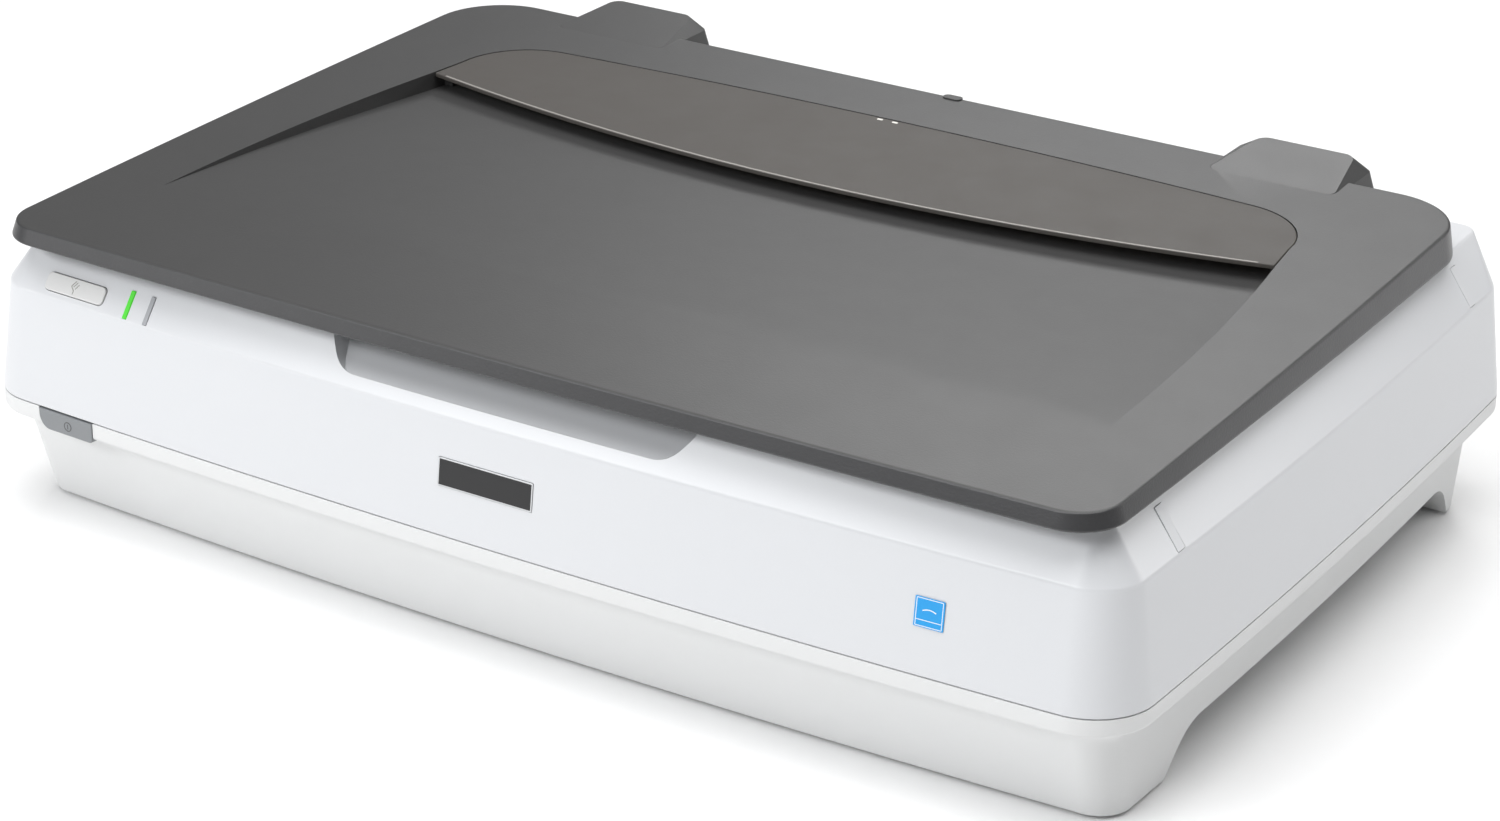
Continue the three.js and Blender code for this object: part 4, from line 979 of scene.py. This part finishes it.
def window_outline(clearance):
    """Plan of the window, which fills the rear of the dish short of the clearance."""
    half = DISH_REAR_HALF + 2.6 - clearance
    front = []
    for step in range(41):
        x = half * (step / 20 - 1)
        front.append((x, window_front(x)))
    rear = [point for point in dish_outline(-clearance) if point[1] > window_front(point[0]) + 3]
    return front + rear


def sloping_prism(flat, low, high, name="tool"):
    """A prism whose heights are measured from the cover's sloping top face."""
    return prism(flat, lambda u, v, w: (u, v, w + cover_top(v)), low, high, name)


def hinge_housing(side, margin):
    """A rounded wedge that rises rearwards out of the cover, shrunk by margin."""
    def level(inner, outer, front, rear, z):
        return dict(
            half=(outer - inner) / 2 - margin, front=front + margin, rear=rear - margin,
            front_radius=5.5, rear_radius=5.5, front_bow=0.0, side_bow=0.0,
        ), z

    body = loft("hinge_housing", [
        level(163, 245, 176, 218.6, 150.5 if margin == 0 else 140),
        level(168, 241, 170, 217.8, 164.6),
        level(178.5, 230, 170, 216.6, 171),
    ], 8, 6)
    middle = side * HINGE_X
    body.data.transform(Matrix.Translation((middle * MM, 0, 0)))
    roof = prism_along_x(
        [(160, 130), (230, 130), (230, roof_z(230) - margin), (160, roof_z(160) - margin)],
        middle - 50, middle + 50,
    )
    return common(body, roof)


def inside(points, x, y):
    """Whether (x, y) lies within a closed outline."""
    crossings = 0
    for (x0, y0), (x1, y1) in zip(points, points[1:] + points[:1]):
        if (y0 > y) != (y1 > y) and x < x0 + (y - y0) / (y1 - y0) * (x1 - x0):
            crossings += 1
    return crossings % 2 == 1


def window_ledge():
    """The narrow shelf round the rear of the dish that carries the window."""
    ledge = sloping_prism(window_outline(-0.1), -9.5, -WINDOW_THICK - 0.6)
    cut(ledge, sloping_prism(window_outline(5), -12, 2))
    return common(ledge, box(-300, 300, 80, 160, DISH_FLOOR_Z - 1, 190))


def rear_catch():
    """The small raised tab in the middle of the cover's rear edge."""
    catch = prism_up(rounded_rectangle(11, 6, 2.5), 154, cover_top(COVER["rear"]) + 0.7)
    catch.data.transform(Matrix.Translation((8 * MM, (COVER["rear"] - 1.5) * MM, 0)))
    return catch


def paint_rim(shell):
    """Gives the upright faces round the cover's edge a grain of their own and a darker colour than the top,
    which is painted shade.
    """
    paint(shell, "cover_plastic", "cover_rim_grain_and_shade")
    top_edge = outline(inset(COVER, 0.4))
    for face in shell.data.polygons:
        x, y, z = face.center / MM
        upright = face.normal.z < 0.95 and z < cover_top(y) - 0.3
        if upright and y < COVER["rear"] + RIM_OUT + 0.1 and not inside(top_edge, x, y):
            face.material_index = 1


def build_cover():
    # Each row is an inset, a height at the front edge, and how much of the top's slope it follows.
    rows = fillet(
        [
            (0.2, COVER_FOOT_Z, 0), (-RIM_OUT + 1.4, COVER_FOOT_Z, 0), (-RIM_OUT, COVER_RIM_Z, 0),
            (-0.6, COVER_FRONT_Z - 0.4, 1), (0.6, COVER_FRONT_Z, 1), (6, COVER_FRONT_Z, 1),
        ],
        [0.7, 0.8, 0.6, 0.6], 5,
    )
    shell = loft("document_cover_shell", [
        (inset(COVER, side), lambda y, z=z, share=share: z + share * (cover_top(y) - COVER_FRONT_Z))
        for side, z, share in rows
    ])
    hollow = loft("tool", [
        (inset(COVER, COVER_HOLLOW), COVER_FOOT_Z - 1),
        (inset(COVER, COVER_HOLLOW), liner_high.z + 1.2),
        (inset(COVER, 4.2), lambda y: cover_top(y) - COVER_WALL),
    ])
    cut(hollow, dish(COVER_WALL))
    for side in (-1, 1):
        join(shell, hinge_housing(side, 0))
    cut(shell, hollow, hinge_housing(1, COVER_WALL), hinge_housing(-1, COVER_WALL), dish(0))
    for side in (-1, 1):
        x = side * HINGE_X
        for left in (-24, 20):
            rib = common(box(x + left, x + left + 4, 192, 217, 151, 170), hinge_housing(side, 0))
            join(shell, rib)
        cut(
            shell,
            box(x - 19.5, x + 19.5, 188, 214, 140, 167),
            box(x - 14, x + 14, 200, 222, 140, HINGE_Z + 2),
            prism_along_x(circle(PIN_RADIUS + 0.3, HINGE_Y, HINGE_Z, 32), x - 30, x + 30),
        )
    join(shell, window_ledge())
    join(shell, rear_catch())
    finish_mesh(shell, sharp=26, edge=0.45)
    paint_rim(shell)
    place_piece(shell, "cover", ["document_cover"])


def build_window():
    pane = sloping_prism(window_outline(0.45), -WINDOW_THICK - 0.15, -0.15, "smoke_window_pane")
    finish_mesh(pane, sharp=40, edge=0.5)
    paint(pane, "smoke_plastic")
    place_piece(pane, "cover", ["smoke_window"])

    # The polished lip along the window's front edge, in a colour far lighter than the pane: a painted
    # highlight
    band = []
    for shift in (0.0, 1.1):
        xs = [244.0 * (step / 20 - 1) for step in range(41)]
        row = [(x, window_front(x) + 0.1 + shift) for x in xs]
        band += row if shift == 0.0 else row[::-1]
    lip = sloping_prism(band, -0.4, 0.05, "smoke_window_glossy_highlight_lip")
    finish_mesh(lip, edge=0.12, segments=2)
    paint(lip, "lip_gloss_and_painted_highlight")
    place_piece(lip, "cover")

    # Two pale clips that hold the window at its rear edge
    for index, x in enumerate((-9.0, 0.2)):
        flat = [(x + u, dish_rear(x) - 3.2 + v) for u, v in rounded_rectangle(3.4, 1.6, 0.5)]
        clip = sloping_prism(flat, -WINDOW_THICK - 2.2, 0.12, f"window_clip_{index + 1}")
        finish_mesh(clip, edge=0.2, segments=2)
        paint(clip, "acetal")
        place_piece(clip, "cover")


def build_liner():
    plan = inset(COVER, 1.0)
    low = liner_low.z
    panel = loft("cover_liner_panel", [
        (inset(plan, 1.0), low), (inset(plan, 0.2), low + 0.15), (plan, low + 0.5), (plan, liner_high.z),
    ])
    finish_mesh(panel, edge=0.0)
    paint(panel, "cover_plastic")
    place_piece(panel, "cover", ["cover_liner"])


def build_mat():
    """The white pad under the cover, with softly rounded edges."""
    width, height = mat_high.x - mat_low.x, mat_high.y - mat_low.y
    centre = (mat_low + mat_high) / 2
    thick = mat_high.z - mat_low.z
    points, faces = [], []
    profile = fillet([(9.0, 0.0), (0.0, 0.0), (0.0, thick), (9.0, thick)], [1.3, 0.8], 5)
    for side, z in profile:
        flat = rounded_rectangle(width - 2 * side, height - 2 * side, max(5.0 - side, 1.0), 8)
        points += [(centre.x + x, centre.y + y, mat_low.z + z) for x, y in flat]
    count = len(points) // len(profile)
    for row in range(len(profile) - 1):
        for column in range(count):
            a, b = row * count + column, row * count + (column + 1) % count
            faces.append((a, b, b + count, a + count))
    faces.append(tuple(reversed(range(count))))
    faces.append(tuple(range(len(points) - count, len(points))))
    pad = object_from("document_mat_pad", points, faces)
    finish_mesh(pad, edge=0.0)
    paint(pad, "white_foam")
    place_piece(pad, "cover", ["document_mat"])


# ------------------------------------------------------------------ CAD nodes that keep their shape

def finish_cad_nodes():
    slots = {row["node"]: row["material_slot"] for row in frame["record"]["subparts"]}
    soft_edges = {
        "document_guide_frame": 0.25, "carriage_housing": 0.5, "lamp_bar": 0.6, "hinge_post_left": 0.5,
        "hinge_post_right": 0.5, "power_inlet": 0.3, "usb_port": 0.2, "option_port": 0.2,
        "rod_clamp_left": 0.4, "rod_clamp_right": 0.4, "support_rail": 0.3, "motor_bracket": 0.3,
        "belt_clamp": 0.3, "idler_bracket": 0.3, "scan_glass": 0.3,
    }
    for name, node in frame["nodes"].items():
        node.data.materials.clear()
        node.data.materials.append(FINISH[slots[name]])
        if name in soft_edges:
            bevel = node.modifiers.new("small edges", "BEVEL")
            bevel.width = soft_edges[name] * MM
            bevel.segments = 2
            bevel.limit_method = "ANGLE"
            bevel.angle_limit = math.radians(50)


add_camera()
add_studio()
finish_cad_nodes()
build_lower_casing()
build_upper_casing()
build_scan_button()
build_power_button()
build_nameplate()
build_label()
build_lamps()
build_trim_plugs()
build_cover()
build_window()
build_liner()
build_mat()
